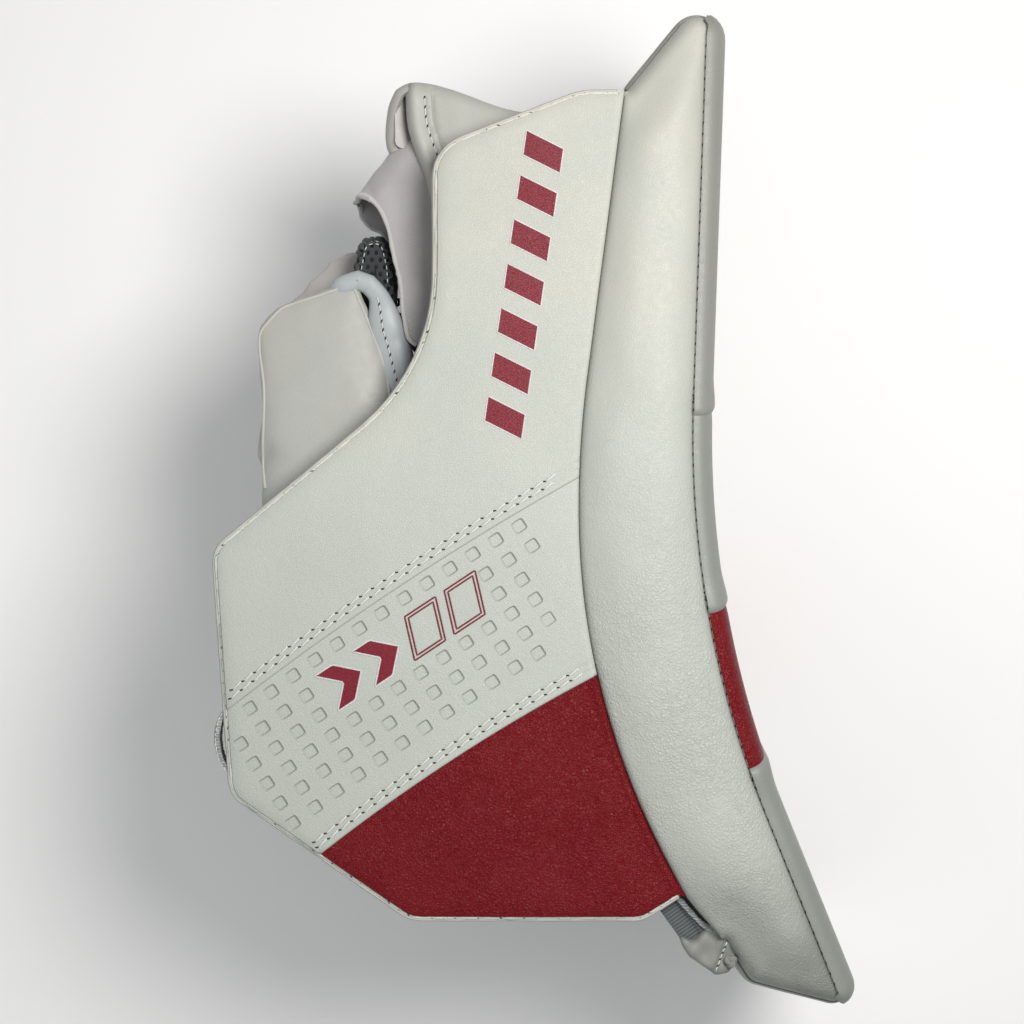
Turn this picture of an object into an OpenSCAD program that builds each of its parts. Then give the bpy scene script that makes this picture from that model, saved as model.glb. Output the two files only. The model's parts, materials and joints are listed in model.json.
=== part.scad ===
// Ice hockey goalie blocker for the right hand, lying on its little-finger edge.
// Millimetres. +X leaves the front face, +Y runs to the fingertip end of the board, +Z leaves the thumb side.

/* [Board] */
// Width of the blocking board, across the hand
board_w = 203; // [190:1:203]
// Radius of the bend in the front face
face_r = 380; // [340:5:420]
// How far the cuff half of the face leans forward, in degrees
cuff_lean = 22; // [20:0.5:23]
// Thickness of the leather and lining on the front face
skin_t = 3; // [2:0.5:4]
// Thickness of the hard sheet inside the board
sheet_t = 2; // [1:0.5:3]
// Thickness of the padded roll along each long edge
roll_t = 8; // [6:1:10]

/* [Side board] */
// Total thickness of the side board
side_t = 14; // [12:1:16]
// Width of the binding round its edge
bind_w = 2.5; // [2:0.5:3]

/* [Glove] */
// Width of one finger stall across the hand
stall_w = 22; // [20:1:22]
// Wall thickness of a finger stall
stall_t = 2.5; // [2:0.5:3]
// Thickness of the pad behind the hand
hand_pad_t = 9; // [7:1:10]
// Thickness of the palm leather
palm_t = 3; // [2:0.5:4]
// Thickness of the padded cuff wrap
wrap_t = 8; // [6:1:9]
// Width of the wrist strap
strap_w = 32; // [25:1:38]

/* [Hidden] */

far = 400;                       // longer than any part
gap = 0.4;                       // clearance between pieces that move past each other

// Board profile
face_x = 68.2;                   // where the front face is furthest back
face_y = 28;                     // height of that place above the middle
tip_lean = 2;                    // lean of the straight fingertip half
back_x = 19;                     // where the back of the board is furthest back
back_up_r = 406;                 // radius of the back above the middle
back_low_r = 286;                // and below it
back_up_a = 8.5;                 // turn of the back above the middle
back_low_a = 31;                 // and below it
tip_back = [37.2, 160.4];        // back corner of the fingertip end
tip_dir = [0.63, 0.777];         // slope of the fingertip bevel
cuff_back = [75, -165];          // cut corner at the cuff end
cuff_low = [85, -180.5];         // start of the cuff bevel
cuff_dir = [0.968, -0.25];       // slope of the cuff bevel
tip_r = 10;                      // rounding of the front at the fingertip end
cuff_r = 10;                     // and at the cuff end
side_top = 199.5;                // outer face of the side board
side_low = side_top - side_t;    // inner face of the side board
back_cover_t = 2;
cap_t = 2;
hand_low = 40;                   // little-finger side of the hand
hand_high = 136;                 // index side of the hand
thumb_low = 138;                 // inner face of the thumb guard
thumb_high = 176;                // outer face of the thumb guard
pitch = 24;                      // spacing of the finger stalls
knuckle = [-5, 46];              // hinge of the fingers
curl_r = 21;                     // radius of the curled fingers
curl_a = 100;                    // how far they curl
reaches = [90, 101, 106, 102];   // where the little, ring, middle and index fingers start to curl

white = [0.93, 0.94, 0.91];
red = [0.65, 0.06, 0.1];
grey = [0.45, 0.47, 0.48];
dark = [0.16, 0.19, 0.2];
foam = [0.85, 0.84, 0.75];
suede = [0.75, 0.76, 0.76];

// ---- 2D helpers ----
function unit(v) = v / norm(v);
function turn(v) = [-v.y, v.x];
function cross2(a, b) = a.x * b.y - a.y * b.x;
function meet(p, d, q, e) = p + d * cross2(q - p, e) / cross2(d, e);
function flip(v) = [for (i = [len(v) - 1:-1:0]) v[i]];
function arc(c, r, a0, a1, n) = [for (i = [0:n]) let (a = a0 + (a1 - a0) * i / n) c + r * [cos(a), sin(a)]];
function wrap(v, i) = v[(i + len(v)) % len(v)];
function xy(p) = [p.x, p.y];
function radius(p) = len(p) > 2 ? p[2] : 0;

// A corner at p between a and b, rounded to radius r
function corner(a, p, b, r) =
    let (u = unit(a - p), w = unit(b - p), h = acos(u * w) / 2,
         c = p + unit(u + w) * r / sin(h), s = p + u * r / tan(h) - c, e = p + w * r / tan(h) - c,
         a0 = atan2(s.y, s.x), sweep = (atan2(e.y, e.x) - a0 + 540) % 360 - 180,
         n = max(3, ceil(abs(sweep) / 12)))
    arc(c, r, a0, a0 + sweep, n);

// Outline through corners [x, y, radius]
function rounded(v) = [for (i = [0:len(v) - 1]) let (p = v[i])
    each radius(p) == 0 ? [xy(p)] : corner(xy(wrap(v, i - 1)), xy(p), xy(wrap(v, i + 1)), radius(p))];

// The same corners moved inwards by d, for an outline that runs anticlockwise
function inset(v, d) = [for (i = [0:len(v) - 1])
    let (p = xy(v[i]), a = xy(wrap(v, i - 1)), b = xy(wrap(v, i + 1)),
         n1 = turn(unit(p - a)), n2 = turn(unit(b - p)), q = p + (n1 + n2) * d / (1 + n1 * n2),
         hollow = cross2(p - a, b - p) < 0, r = radius(v[i]))
    [q.x, q.y, r == 0 ? 0 : max(1, hollow ? r + d : r - d)]];

// A line of points moved sideways by d, to its left
function beside(v, d) = [for (i = [0:len(v) - 1])
    let (n1 = turn(unit(v[max(i, 1)] - v[max(i, 1) - 1])),
         n2 = turn(unit(v[min(i, len(v) - 2) + 1] - v[min(i, len(v) - 2)])))
    v[i] + (n1 + n2) * d / (1 + n1 * n2)];
function ribbon(v, d0, d1) = concat(beside(v, d0), flip(beside(v, d1)));

module slab(v, z0, z1) { translate([0, 0, z0]) linear_extrude(z1 - z0) polygon(v); }
module across(v, y0, y1) { translate([0, y1, 0]) rotate([90, 0, 0]) linear_extrude(y1 - y0) polygon(v); }

// ---- Board profile ----
// Front face, from the fingertip end to the cuff end, d deep inside it
function face_line(d) =
    let (c = [face_x + face_r, face_y], r = face_r + d,
         top = c + r * [-cos(tip_lean), sin(tip_lean)], low = c + r * [-cos(cuff_lean), -sin(cuff_lean)])
    concat([meet(top, [sin(tip_lean), cos(tip_lean)], tip_back, tip_dir)],
           arc(c, r, 180 - tip_lean, 180 + cuff_lean, 10),
           [meet(low, [sin(cuff_lean), -cos(cuff_lean)], cuff_low, cuff_dir)]);

// Back of the board, from the cuff end to the fingertip end, d deep inside it
function back_line(d) = concat(
    arc([back_x + back_low_r, 0], back_low_r - d, 180 + back_low_a, 180, 12),
    arc([back_x + back_up_r, 0], back_up_r - d, 180 - back_up_a / 4, 180 - back_up_a, 3));

// Point at height y on the straight run of the back above its arc
function back_at(y) = let (v = back_line(0), n = len(v), d = v[n - 1] - v[n - 2])
    v[n - 1] + d * (y - v[n - 1].y) / d.y;

// Whole profile: deeper than the face by f, than the ends by e and than the back by b
function profile(f = 0, e = 0, b = 0) =
    let (face = face_line(f), n = len(face),
         tip_p = tip_back + turn(tip_dir) * -e, cuff_p = cuff_low + turn(cuff_dir) * e,
         first = meet(face[0], face[1] - face[0], tip_p, tip_dir),
         last = meet(face[n - 1], face[n - 1] - face[n - 2], cuff_p, cuff_dir),
         back = back_line(b), m = len(back), cut = turn(unit(cuff_low - cuff_back)) * e,
         low = meet(cuff_p, cuff_dir, cuff_back + cut, cuff_low - cuff_back),
         mid = cuff_back + turn(unit(cuff_back - back_line(0)[0])) * max(e, b))
    flip(rounded(concat([[first.x, first.y, tip_r - f]], [for (i = [1:n - 2]) face[i]],
        [[last.x, last.y, cuff_r - f], [low.x, low.y, 6], [mid.x, mid.y, 5]],
        back, [meet(back[m - 1], back[m - 1] - back[m - 2], tip_p, tip_dir)])));

// Everything between two depths below the front face
function layer(d0, d1) = concat(
    [face_line(d0)[0] + [0, 30]], face_line(d0), [last_of(face_line(d0)) + [12, -30]],
    [last_of(face_line(d1)) + [12, -30]], flip(face_line(d1)), [face_line(d1)[0] + [0, 30]]);
function last_of(v) = v[len(v) - 1];

// Everything on the glove side of the board's back
back_side = concat([[-far, -far], [back_line(0)[0].x, -far]], back_line(0),
                   [back_at(far), [-far, far]]);

module core(d0, d1) {
    intersection() {
        slab(profile(skin_t, cap_t, back_cover_t), roll_t, board_w - roll_t);
        slab(layer(d0, d1), 0, board_w);
    }
}

module front_foam() { color(foam) core(skin_t, 18); }
module core_sheet() { color(grey) core(18, 18 + sheet_t); }
module back_foam() { color(foam) core(18 + sheet_t, far / 4); }

// Face panels meet on chevron seams
seam_upper = 36;
seam_middle = -38;
seam_lower = -99;
chevron = 30;
face_edge = 3;
module face_panel(y0, y1, shade) {
    color(shade) intersection() {
        slab(profile(), face_edge, board_w - face_edge);
        slab(layer(-20, skin_t), 0, board_w);
        rotate([0, 90, 0]) linear_extrude(far)
            polygon([[0, y0], [-board_w / 2, y0 + chevron], [-board_w, y0],
                     [-board_w, y1], [-board_w / 2, y1 + chevron], [0, y1]]);
    }
}
module face_panel_tip() { face_panel(seam_upper, far, white); }
module face_panel_middle() { face_panel(seam_middle, seam_upper, white); }
module face_panel_red() { face_panel(seam_lower, seam_middle, red); }
module face_panel_cuff() { face_panel(-far, seam_lower, white); }

module thumb_side_roll() { color(white) slab(profile(skin_t), board_w - roll_t, board_w); }
module little_side_roll() { color(white) slab(profile(skin_t), 0, roll_t); }

module board_shell(keep) {
    intersection() {
        difference() {
            slab(profile(skin_t), roll_t, board_w - roll_t);
            slab(profile(skin_t, cap_t, back_cover_t), 0, board_w);
            slab(layer(skin_t - 1, skin_t + 0.3), 0, board_w);
        }
        slab(keep, 0, board_w);
    }
}
cap_line_tip = [[-far, 158], [far, 158], [far, far], [-far, far]];
cap_line_cuff = [[-far, -far], [far, -far], [far, -150], [-far, -150]];
cap_line_back = [[-far, -150], [far, -150], [far, 158], [-far, 158]];
module tip_end_cap() { color(white) board_shell(cap_line_tip); }
module cuff_end_cap() { color(white) board_shell(cap_line_cuff); }
module back_cover() { color(dark) board_shell(cap_line_back); }

// ---- Side board ----
seam_line = [for (p = back_line(0)) [p.x - gap, p.y, 0]];
side_corners = concat(seam_line, [
    [back_at(160.6).x - gap, 160.6, 0], [20, 160.8, 28], [-37.3, 138.5, 17], [-37.3, 55.2, 75],
    [-121.6, -14.8, 12], [-114.7, -109.2, 12], [-45.5, -157.2, 14], [43.5, -157.2, 12]]);
function side_outline(d) = rounded(inset(side_corners, d));

module side_layer(z0, z1) { slab(side_outline(bind_w), z0, z1); }

lining_t = 1.5;
panel_t = 2;
foam_in_top = side_low + lining_t + 4;
sheet_top = foam_in_top + 1.5;
foam_out_top = side_top - panel_t;

module side_lining() { color(grey) side_layer(side_low, side_low + lining_t); }
module side_inner_foam() { color(foam) side_layer(side_low + lining_t, foam_in_top); }
module side_sheet() { color(grey) side_layer(foam_in_top, sheet_top); }
module side_outer_foam() { color(foam) side_layer(sheet_top, foam_out_top); }

// Leather panels meet on two slanting seams, given by their ends
fold_a = [[-113.4, -75.2], [19.4, 12.5]];
fold_b = [[-80, -131.5], [27.1, -62.1]];
function along(s, t) = s[0] + (s[1] - s[0]) * t;
function above(s) = [along(s, -3), along(s, 4), along(s, 4) + [0, far], along(s, -3) + [0, far]];
function between(s, t) = [along(s, -3), along(s, 4), along(t, 4), along(t, -3)];
function below(s) = [along(s, -3), along(s, 4), along(s, 4) - [0, far], along(s, -3) - [0, far]];
module side_panel(region) {
    intersection() {
        side_layer(foam_out_top, side_top);
        slab(region, 0, board_w);
    }
}
module side_panel_upper() { color(white) side_panel(above(fold_a)); }
module side_panel_embossed() { color(white) side_panel(between(fold_b, fold_a)); }
module side_panel_red() { color(red) side_panel(below(fold_b)); }

module side_binding() {
    color(white) difference() {
        slab(side_outline(0), side_low, side_top);
        slab(side_outline(bind_w), side_low - 1, side_top + 1);
    }
}

// Printed marks: a row of slanting bars, and a small badge of frames and arrows
print_t = 0.4;
stripe_from = [5.4, 136];
stripe_to = [-9.2, 35];
stripe_count = 7;
stripe_l = 15;
stripe_h = 9.5;
stripe_skew = 5;
module side_stripes() {
    d = unit(stripe_to - stripe_from);
    color(red) for (i = [0:stripe_count - 1])
        let (c = stripe_from + (stripe_to - stripe_from) * i / (stripe_count - 1), w = turn(d) * stripe_l / 2,
             s = d * stripe_skew / 2, h = d * stripe_h / 2)
        slab([c - w - s - h, c + w + s - h, c + w + s + h, c - w - s + h], side_top, side_top + print_t);
}

badge_at = [-47, -50];
badge_dir = unit(fold_a[1] - fold_a[0]);
function badge_point(u, v) = badge_at + badge_dir * u + turn(badge_dir) * v;
function badge_box(u, w, h, skew) = [badge_point(u - skew, -h), badge_point(u + w - skew, -h),
                                     badge_point(u + w + skew, h), badge_point(u + skew, h)];
function arrow(u, w, h) = [badge_point(u, -h), badge_point(u + w, -h), badge_point(u + w + h, 0),
                           badge_point(u + w, h), badge_point(u, h), badge_point(u + h, 0)];
module side_badge() {
    color(red) {
        for (u = [-36, -19]) slab(arrow(u, 8, 8), side_top, side_top + print_t);
        for (u = [2, 20]) difference() {
            slab(badge_box(u, 14, 8, 3), side_top, side_top + print_t);
            slab(badge_box(u + 1.4, 11.2, 6.8, 2.5), side_top - 1, side_top + 1);
        }
    }
}

// Webbing pull loop on the free edge
module edge_loop() {
    color(white) difference() {
        slab(ribbon(arc([-107.5, -87.6], 13, 90 + 40, 270 - 40, 8), 0, 1.6), side_low + 2, side_top - 2);
        slab(side_outline(0), 0, board_w);
    }
}

// Elastic from the side board's corner to a leather tab on the end of the board
module cuff_elastic() {
    color(grey) slab([[52.5, -154.2], [59, -150], [67, -158.4], [59.5, -166]], side_low + 4, side_low + 6);
}
module anchor_tab() {
    outline = [[59.8, -166.4], [67.4, -158.8], [74.2, -166.2], [79.4, -174.4], [70, -177.2], [62, -172]];
    color(white) slab(outline, side_low + 3, side_low + 8);
}
knot_r = 2.2;
module tab_knot() {
    color(white) translate([73.5, -171.5, side_low + 8 + knot_r]) sphere(r = knot_r, $fn = 24);
}

// ---- Hand pocket on the back of the board ----
function back_strip(d0, d1, y0, y1) = let (p = [for (q = back_line(0)) if (q.y > y0 && q.y < y1) q])
    ribbon(p, d0, d1);
hand_front = hand_pad_t + 1.5;
hand_pad_y = [-50, 95];
hand_pad_high = 170;
module hand_layer(d0, d1) {
    slab(back_strip(d0, d1, hand_pad_y[0], hand_pad_y[1]), hand_low, hand_pad_high);
}
module hand_pad() { color(foam) hand_layer(0, hand_pad_t); }
module hand_liner() { color(dark) hand_layer(hand_pad_t, hand_front); }

palm_top = [-22, 44];
palm_heel = [-43, -30];
palm_end = [-44.7, -56];
palm_line = [palm_top, palm_heel, palm_end];
module palm() { color(suede) slab(ribbon(palm_line, 0, -palm_t), hand_low, hand_high); }

// Side walls of the pocket: little-finger side, index side and the thumb's way out
pocket_x = back_x - hand_front - gap;
pocket = [palm_heel, [-44, -45], [pocket_x + 2, -43], [pocket_x, -20], [pocket_x, 20],
          [pocket_x + 2, 44], palm_top];
module little_gusset() { color(white) slab(pocket, hand_low - 2.5, hand_low); }
module index_gusset() {
    color(white) intersection() {
        slab(pocket, hand_high, hand_high + 2);
        slab([[-far, -4], [far, -4], [far, far], [-far, far]], 0, board_w);
    }
}
gusset_t = 2.5;
gusset_high = 164;
thumb_hinge = [-72, -5];
base_r = 27;                     // round base of the thumb guard
socket_r = 32;                   // hollow in the gusset that the base turns in
thumb_base = concat([[8, -50, 0], [8, -7, 0]],
    [for (p = arc(thumb_hinge, socket_r, -4, -110, 10)) [p.x, p.y, 0]],
    [[-86, -44, 3], [-70, -50, 8]]);
module thumb_gusset() {
    color(white) difference() {
        slab(rounded(thumb_base), hand_high + 2.2, gusset_high);
        slab(rounded(inset(thumb_base, gusset_t)), hand_high, gusset_high - gusset_t);
        slab(ribbon(arc(thumb_hinge, socket_r, -40, -115, 6), 3, -6), thumb_low + 4, gusset_high - 3);
    }
}

// ---- Finger stalls ----
function finger_path(reach, tip) = concat([knuckle], [knuckle + [0, 30]],
    arc([knuckle.x - curl_r, reach], curl_r, 0, curl_a, 7),
    [[knuckle.x - curl_r, reach] + curl_r * [cos(curl_a), sin(curl_a)] + tip * [-sin(curl_a), cos(curl_a)]]);
function stall_z(i) = hand_low + 1 + pitch * i;
module stall(i) {
    outer = finger_path(reaches[i], 10);
    inner = finger_path(reaches[i], 10 - stall_t);
    h = stall_w / 2;
    z = stall_z(i);
    color(suede) difference() {
        slab(ribbon(outer, -h, h), z, z + stall_w);
        slab(concat(beside(inner, -h + stall_t), flip(beside(inner, h - stall_t)),
                    [knuckle + [-h + stall_t, -5], knuckle + [h - stall_t, -5]]),
             z + stall_t, z + stall_w - stall_t);
    }
}
module little_stall() { stall(0); }
module ring_stall() { stall(1); }
module middle_stall() { stall(2); }
module index_stall() { stall(3); }

// Two foam pads on the outside of each finger
pad_t = 6;
module pads(i) {
    z = stall_z(i) + 1.5;
    h = stall_w / 2;
    c = [knuckle.x - curl_r, reaches[i]];
    color(white) {
        for (a = [12, 58])
            slab(ribbon(arc(c, curl_r + h + 0.6, a, a + 40, 4), 0, -pad_t), z, z + stall_w - 3);
    }
}
module little_pads() { pads(0); }
module ring_pads() { pads(1); }
module middle_pads() { pads(2); }
module index_pads() { pads(3); }

// ---- Index guard: a leather hood over a jersey sleeve, both open towards the hand ----
guard_z = [140, 180];
visor_line = [[44, 146.5], [-7, 150.5], [-30, 158.5], [-44, 161.4], [-49.5, 159], [-52, 149], [-51.8, 141.5]];
visor_t = 4;
hem = [[-45.2, 157], [-44, 136.4], [-38.8, 122], [-36, 104]];
far_edge = [[-49, 149], [-49, 141.5], [-40, 120], [-36, 104]];
sleeve_gap = 0.4;
module hood(line, wall, near, behind, low, z) {
    top = [for (i = [1:3]) line[i] - [0, 1]];
    root = [[44, low], [44, 142]];
    intersection() {
        union() {
            slab(ribbon(line, 0, wall), z[0], z[1]);
            slab(concat(top, near, root), z[1] - wall, z[1]);
            slab(concat(top, behind, root), z[0], z[0] + wall);
        }
        slab(back_side, 0, board_w);
    }
}
module index_guard() { color(white) hood(visor_line, visor_t, hem, far_edge, 104, guard_z); }

cloth_t = 2;
cloth_z = [guard_z[0] + visor_t + sleeve_gap, guard_z[1] - visor_t - sleeve_gap];
cloth_line = [[44, 138], [-7, 142], [-40, 148], [-46.5, 139.5], [-61.5, 121], [-63, 117], [-60, 112.5],
              [-55, 105.5]];
cloth_edge = [[-46, 139], [-60, 120], [-59, 114], [-53, 102], [-48.6, 85.7], [-47.6, 70], [-44.5, 62],
              [-26, 62]];
module index_sleeve() {
    color(white) intersection() {
        union() {
            slab(ribbon(cloth_line, 0, cloth_t), cloth_z[0], cloth_z[1]);
            for (z = [cloth_z[0], cloth_z[1] - cloth_t])
                slab(concat([[-7, 141.5], [-39, 147]], cloth_edge, [[44, 70], [44, 137]]), z, z + cloth_t);
        }
        slab(back_side, 0, board_w);
    }
}

// ---- Thumb guard: its round base turns in the hollow of the gusset ----
function base_arc(r) = [for (p = arc(thumb_hinge, r, 180, 360, 10)) [p.x, p.y, 0]];
outer_pad = concat(base_arc(base_r), [[-52.5, 49.4, 60], [-67.5, 86.2, 4], [-94, 75.5, 14], [-104, 64, 10],
                                      [-103.8, 44, 0]]);
module thumb_outer_pad() { color(white) slab(rounded(outer_pad), thumb_high - 8, thumb_high); }
inner_pad = concat(base_arc(base_r), [[-54, 60, 20], [-59, 99.5, 8], [-80, 96, 16], [-102, 62, 10]]);
module thumb_inner_pad() { color(white) slab(rounded(inner_pad), thumb_low, thumb_low + 6); }
module thumb_side_pad() {
    color(white) slab(ribbon([[-96.4, -4], [-98.2, 44], [-96, 62]], 0, 5), thumb_low + 6.4, thumb_high - 8.4);
}
roll_line = [[-40.5, -4], [-47, 50], [-55, 77], [-62, 88], [-68, 89.5]];
module thumb_edge_roll() { color(white) slab(ribbon(roll_line, 0, 4.5), thumb_high - 8.4, thumb_high); }
sleeve_skin = 1.6;
sleeve_z = [thumb_low + 6.4, thumb_high - 8.8];
sleeve_top = [[-50, 50, 30], [-53, 92, 12], [-56, 104, 6], [-66.5, 103, 6], [-71, 82, 10], [-95, 62, 12]];
sleeve = concat(base_arc(base_r - 5), sleeve_top);
sleeve_hollow = concat([[-92.2, -50, 0], [-51.8, -50, 0]],
                       [for (p = inset(sleeve, sleeve_skin)) if (p.y > thumb_hinge.y + 1) p]);
module thumb_sleeve() {
    color(dark) difference() {
        slab(rounded(sleeve), sleeve_z[0], sleeve_z[1]);
        slab(rounded(sleeve_hollow), sleeve_z[0] + sleeve_skin, sleeve_z[1] - sleeve_skin);
    }
}

// ---- Cuff: a padded wrap round the wrist, leaning with the cuff half of the board ----
cuff_turn = 14;
cuff_at = [12, -42];
module cuff_frame() { translate([cuff_at.x, cuff_at.y, 0]) rotate([0, 0, cuff_turn]) children(); }
wrap_l = 84;
wrap_low = 34;
wrap_high = 173;
wrap_left = -72;
function wrap_corners(d) = [[60, wrap_low - d, 0], [wrap_left - d, wrap_low - d, 26 + d],
                            [wrap_left - d, wrap_high + d, 26 + d], [60, wrap_high + d, 0]];
function wrap_path(d) = [for (i = [0:3]) let (v = wrap_corners(d))
    each radius(v[i]) == 0 ? [xy(v[i])] : corner(xy(v[i - 1]), xy(v[i]), xy(v[i + 1]), radius(v[i]))];
module cuff_band(d0, d1, y0, y1) { across(concat(wrap_path(d0), flip(wrap_path(d1))), y0, y1); }
module cuff_wrap() {
    color(white) intersection() {
        cuff_frame() cuff_band(0, -wrap_t, -wrap_l, -2);
        slab(back_side, 0, board_w);
    }
}

// Strap: its base is sewn round the thumb side and its tab closes on the palm side
strap_t = 2.2;
strap_y = -44;
strap_out = 0.5;
strap_hinge_z = wrap_high - 30;
strap_base_end = strap_hinge_z + 1;
tab_end = 62;
module strap_zone(z0, z1) { translate([-far, -far, z0]) cube([2 * far, 2 * far, z1 - z0]); }
module strap_base() {
    color(grey) intersection() {
        cuff_frame() cuff_band(strap_out, strap_out + strap_t, strap_y - strap_w / 2, strap_y + strap_w / 2);
        strap_zone(strap_base_end, far);
        slab(back_side, 0, board_w);
    }
}
tab_x = wrap_left - strap_out - 1.6;
module strap_tab() {
    color(grey) cuff_frame() translate([tab_x - strap_t, strap_y - strap_w / 2, tab_end])
        cube([strap_t, strap_w, strap_hinge_z - tab_end]);
}
patch_w = strap_w - 6;
patch_t = 0.8;
module hook_patch() {
    color(dark) cuff_frame() translate([tab_x, strap_y - patch_w / 2, tab_end + 8])
        cube([patch_t, patch_w, 50]);
}
module loop_patch() {
    color(dark) cuff_frame() translate([wrap_left - patch_t, strap_y - patch_w / 2, tab_end + 6])
        cube([patch_t, patch_w, 62]);
}
module strap_pull() {
    color(red) cuff_frame() translate([tab_x - strap_t - 2.4, strap_y - strap_w / 2 + 4, tab_end - 6])
        cube([2.4, strap_w - 8, 22]);
}

// ---- Lacing that ties the little-finger side of the pocket to the board ----
eyelet_y = [-30, -8, 14, 36];
strip_z = [16, 34];
eyelet_z = 26;
module eyelet_strip() {
    color(white) difference() {
        slab(back_strip(0, 2, -45, 60), strip_z[0], strip_z[1]);
        for (y = eyelet_y) translate([0, y, eyelet_z]) rotate([0, 90, 0])
            cylinder(r = 3, h = 60, center = true, $fn = 24);
    }
}
module eyelets() {
    color([0.8, 0.8, 0.82]) for (y = eyelet_y) difference() {
        translate([back_x + 1, y, eyelet_z]) rotate([0, -90, 0]) cylinder(r = 2.9, h = 6, $fn = 24);
        translate([back_x + 2, y, eyelet_z]) rotate([0, -90, 0]) cylinder(r = 1.9, h = 12, $fn = 24);
        slab(concat([[far, -far]], [for (p = back_line(0)) p], [[far, far]]), 0, board_w);
    }
}
lace_r = 1.5;
lace_out = back_x - 5 - lace_r - 0.2;
lace_up = hand_low - 2.5 - lace_r - 0.1;
module lace_run(a, b) {
    hull() {
        translate(a) sphere(r = lace_r, $fn = 8);
        translate(b) sphere(r = lace_r, $fn = 8);
    }
}
module palm_lace() {
    color(white) union() for (i = [0:len(eyelet_y) - 2])
        let (a = [lace_out, eyelet_y[i], eyelet_z], b = [lace_out, eyelet_y[i + 1], eyelet_z],
             c = [9, (a.y + b.y) / 2, lace_up]) {
            lace_run(a, c);
            lace_run(c, b);
        }
}

front_foam();
core_sheet();
back_foam();
face_panel_tip();
face_panel_middle();
face_panel_red();
face_panel_cuff();
thumb_side_roll();
little_side_roll();
tip_end_cap();
cuff_end_cap();
back_cover();
side_inner_foam();
side_sheet();
side_outer_foam();
side_panel_upper();
side_panel_embossed();
side_panel_red();
side_lining();
side_binding();
side_stripes();
side_badge();
edge_loop();
cuff_elastic();
anchor_tab();
tab_knot();
hand_pad();
hand_liner();
palm();
little_gusset();
index_gusset();
thumb_gusset();
index_stall();
middle_stall();
ring_stall();
little_stall();
index_pads();
middle_pads();
ring_pads();
little_pads();
index_guard();
index_sleeve();
thumb_outer_pad();
thumb_side_pad();
thumb_inner_pad();
thumb_edge_roll();
thumb_sleeve();
cuff_wrap();
strap_base();
strap_tab();
hook_patch();
loop_patch();
strap_pull();
eyelet_strip();
eyelets();
palm_lace();
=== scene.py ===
"""Looks of the goalie blocker: padded leather, prints, seams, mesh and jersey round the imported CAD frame.

Sizes in this script are millimetres, and mesh() turns them into metres. Outlines come from the CAD nodes.
"""
import json
import math

import bmesh
import bpy
import numpy as np
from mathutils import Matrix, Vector, geometry
from mathutils.bvhtree import BVHTree


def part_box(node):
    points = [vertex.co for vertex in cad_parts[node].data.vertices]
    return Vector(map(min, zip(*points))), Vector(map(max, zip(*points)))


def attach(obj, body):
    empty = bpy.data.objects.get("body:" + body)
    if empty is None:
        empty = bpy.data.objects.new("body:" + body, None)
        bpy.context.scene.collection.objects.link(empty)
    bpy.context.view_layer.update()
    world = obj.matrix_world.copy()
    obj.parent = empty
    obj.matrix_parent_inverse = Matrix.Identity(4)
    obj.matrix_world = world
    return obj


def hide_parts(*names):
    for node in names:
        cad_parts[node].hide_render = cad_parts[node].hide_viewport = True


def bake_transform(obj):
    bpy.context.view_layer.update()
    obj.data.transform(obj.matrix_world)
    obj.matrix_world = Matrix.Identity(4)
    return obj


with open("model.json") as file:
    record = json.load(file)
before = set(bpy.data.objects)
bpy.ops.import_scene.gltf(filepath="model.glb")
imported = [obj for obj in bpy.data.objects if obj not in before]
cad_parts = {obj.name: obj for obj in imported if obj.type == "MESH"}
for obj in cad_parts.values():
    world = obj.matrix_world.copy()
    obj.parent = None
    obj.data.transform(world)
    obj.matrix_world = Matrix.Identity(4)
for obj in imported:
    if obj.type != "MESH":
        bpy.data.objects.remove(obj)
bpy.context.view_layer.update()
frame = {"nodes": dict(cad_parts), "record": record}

MM = 0.001
TOP = 203.0                     # width of the board, which lies on its little-finger edge
UP = np.array([0.0, 0.0, 1.0])


# ---- Camera, light and floor -------------------------------------------------------------------------------

VIEW_DISTANCE = 800 * MM        # camera above the thumb side
VIEW_WIDTH = 389 * MM           # what the frame spans there
VIEW_CENTRE = (-6.5 * MM, -0.8 * MM)
SENSOR = 36.0
WORLD_LIGHT = 0.42
FLOOR_HALF = 3.0                # in metres, as the lights' places and sizes are


def linked(name, data):
    """A new object in the scene."""
    made = bpy.data.objects.new(name, data)
    bpy.context.scene.collection.objects.link(made)
    return made


def camera():
    data = bpy.data.cameras.new("camera")
    data.sensor_width = SENSOR
    data.lens = SENSOR * VIEW_DISTANCE / VIEW_WIDTH
    data.clip_start = 0.01
    eye = linked("camera", data)
    eye.location = (*VIEW_CENTRE, 200 * MM + VIEW_DISTANCE)
    bpy.context.scene.camera = eye


def area_light(name, place, aim, size, power, colour=(1, 1, 1)):
    data = bpy.data.lights.new(name, "AREA")
    data.shape = "DISK"
    data.size = size
    data.energy = power
    data.color = colour
    lamp = linked(name, data)
    lamp.location = place
    lamp.rotation_euler = (Vector(aim) - Vector(place)).to_track_quat("-Z", "Y").to_euler()


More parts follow.
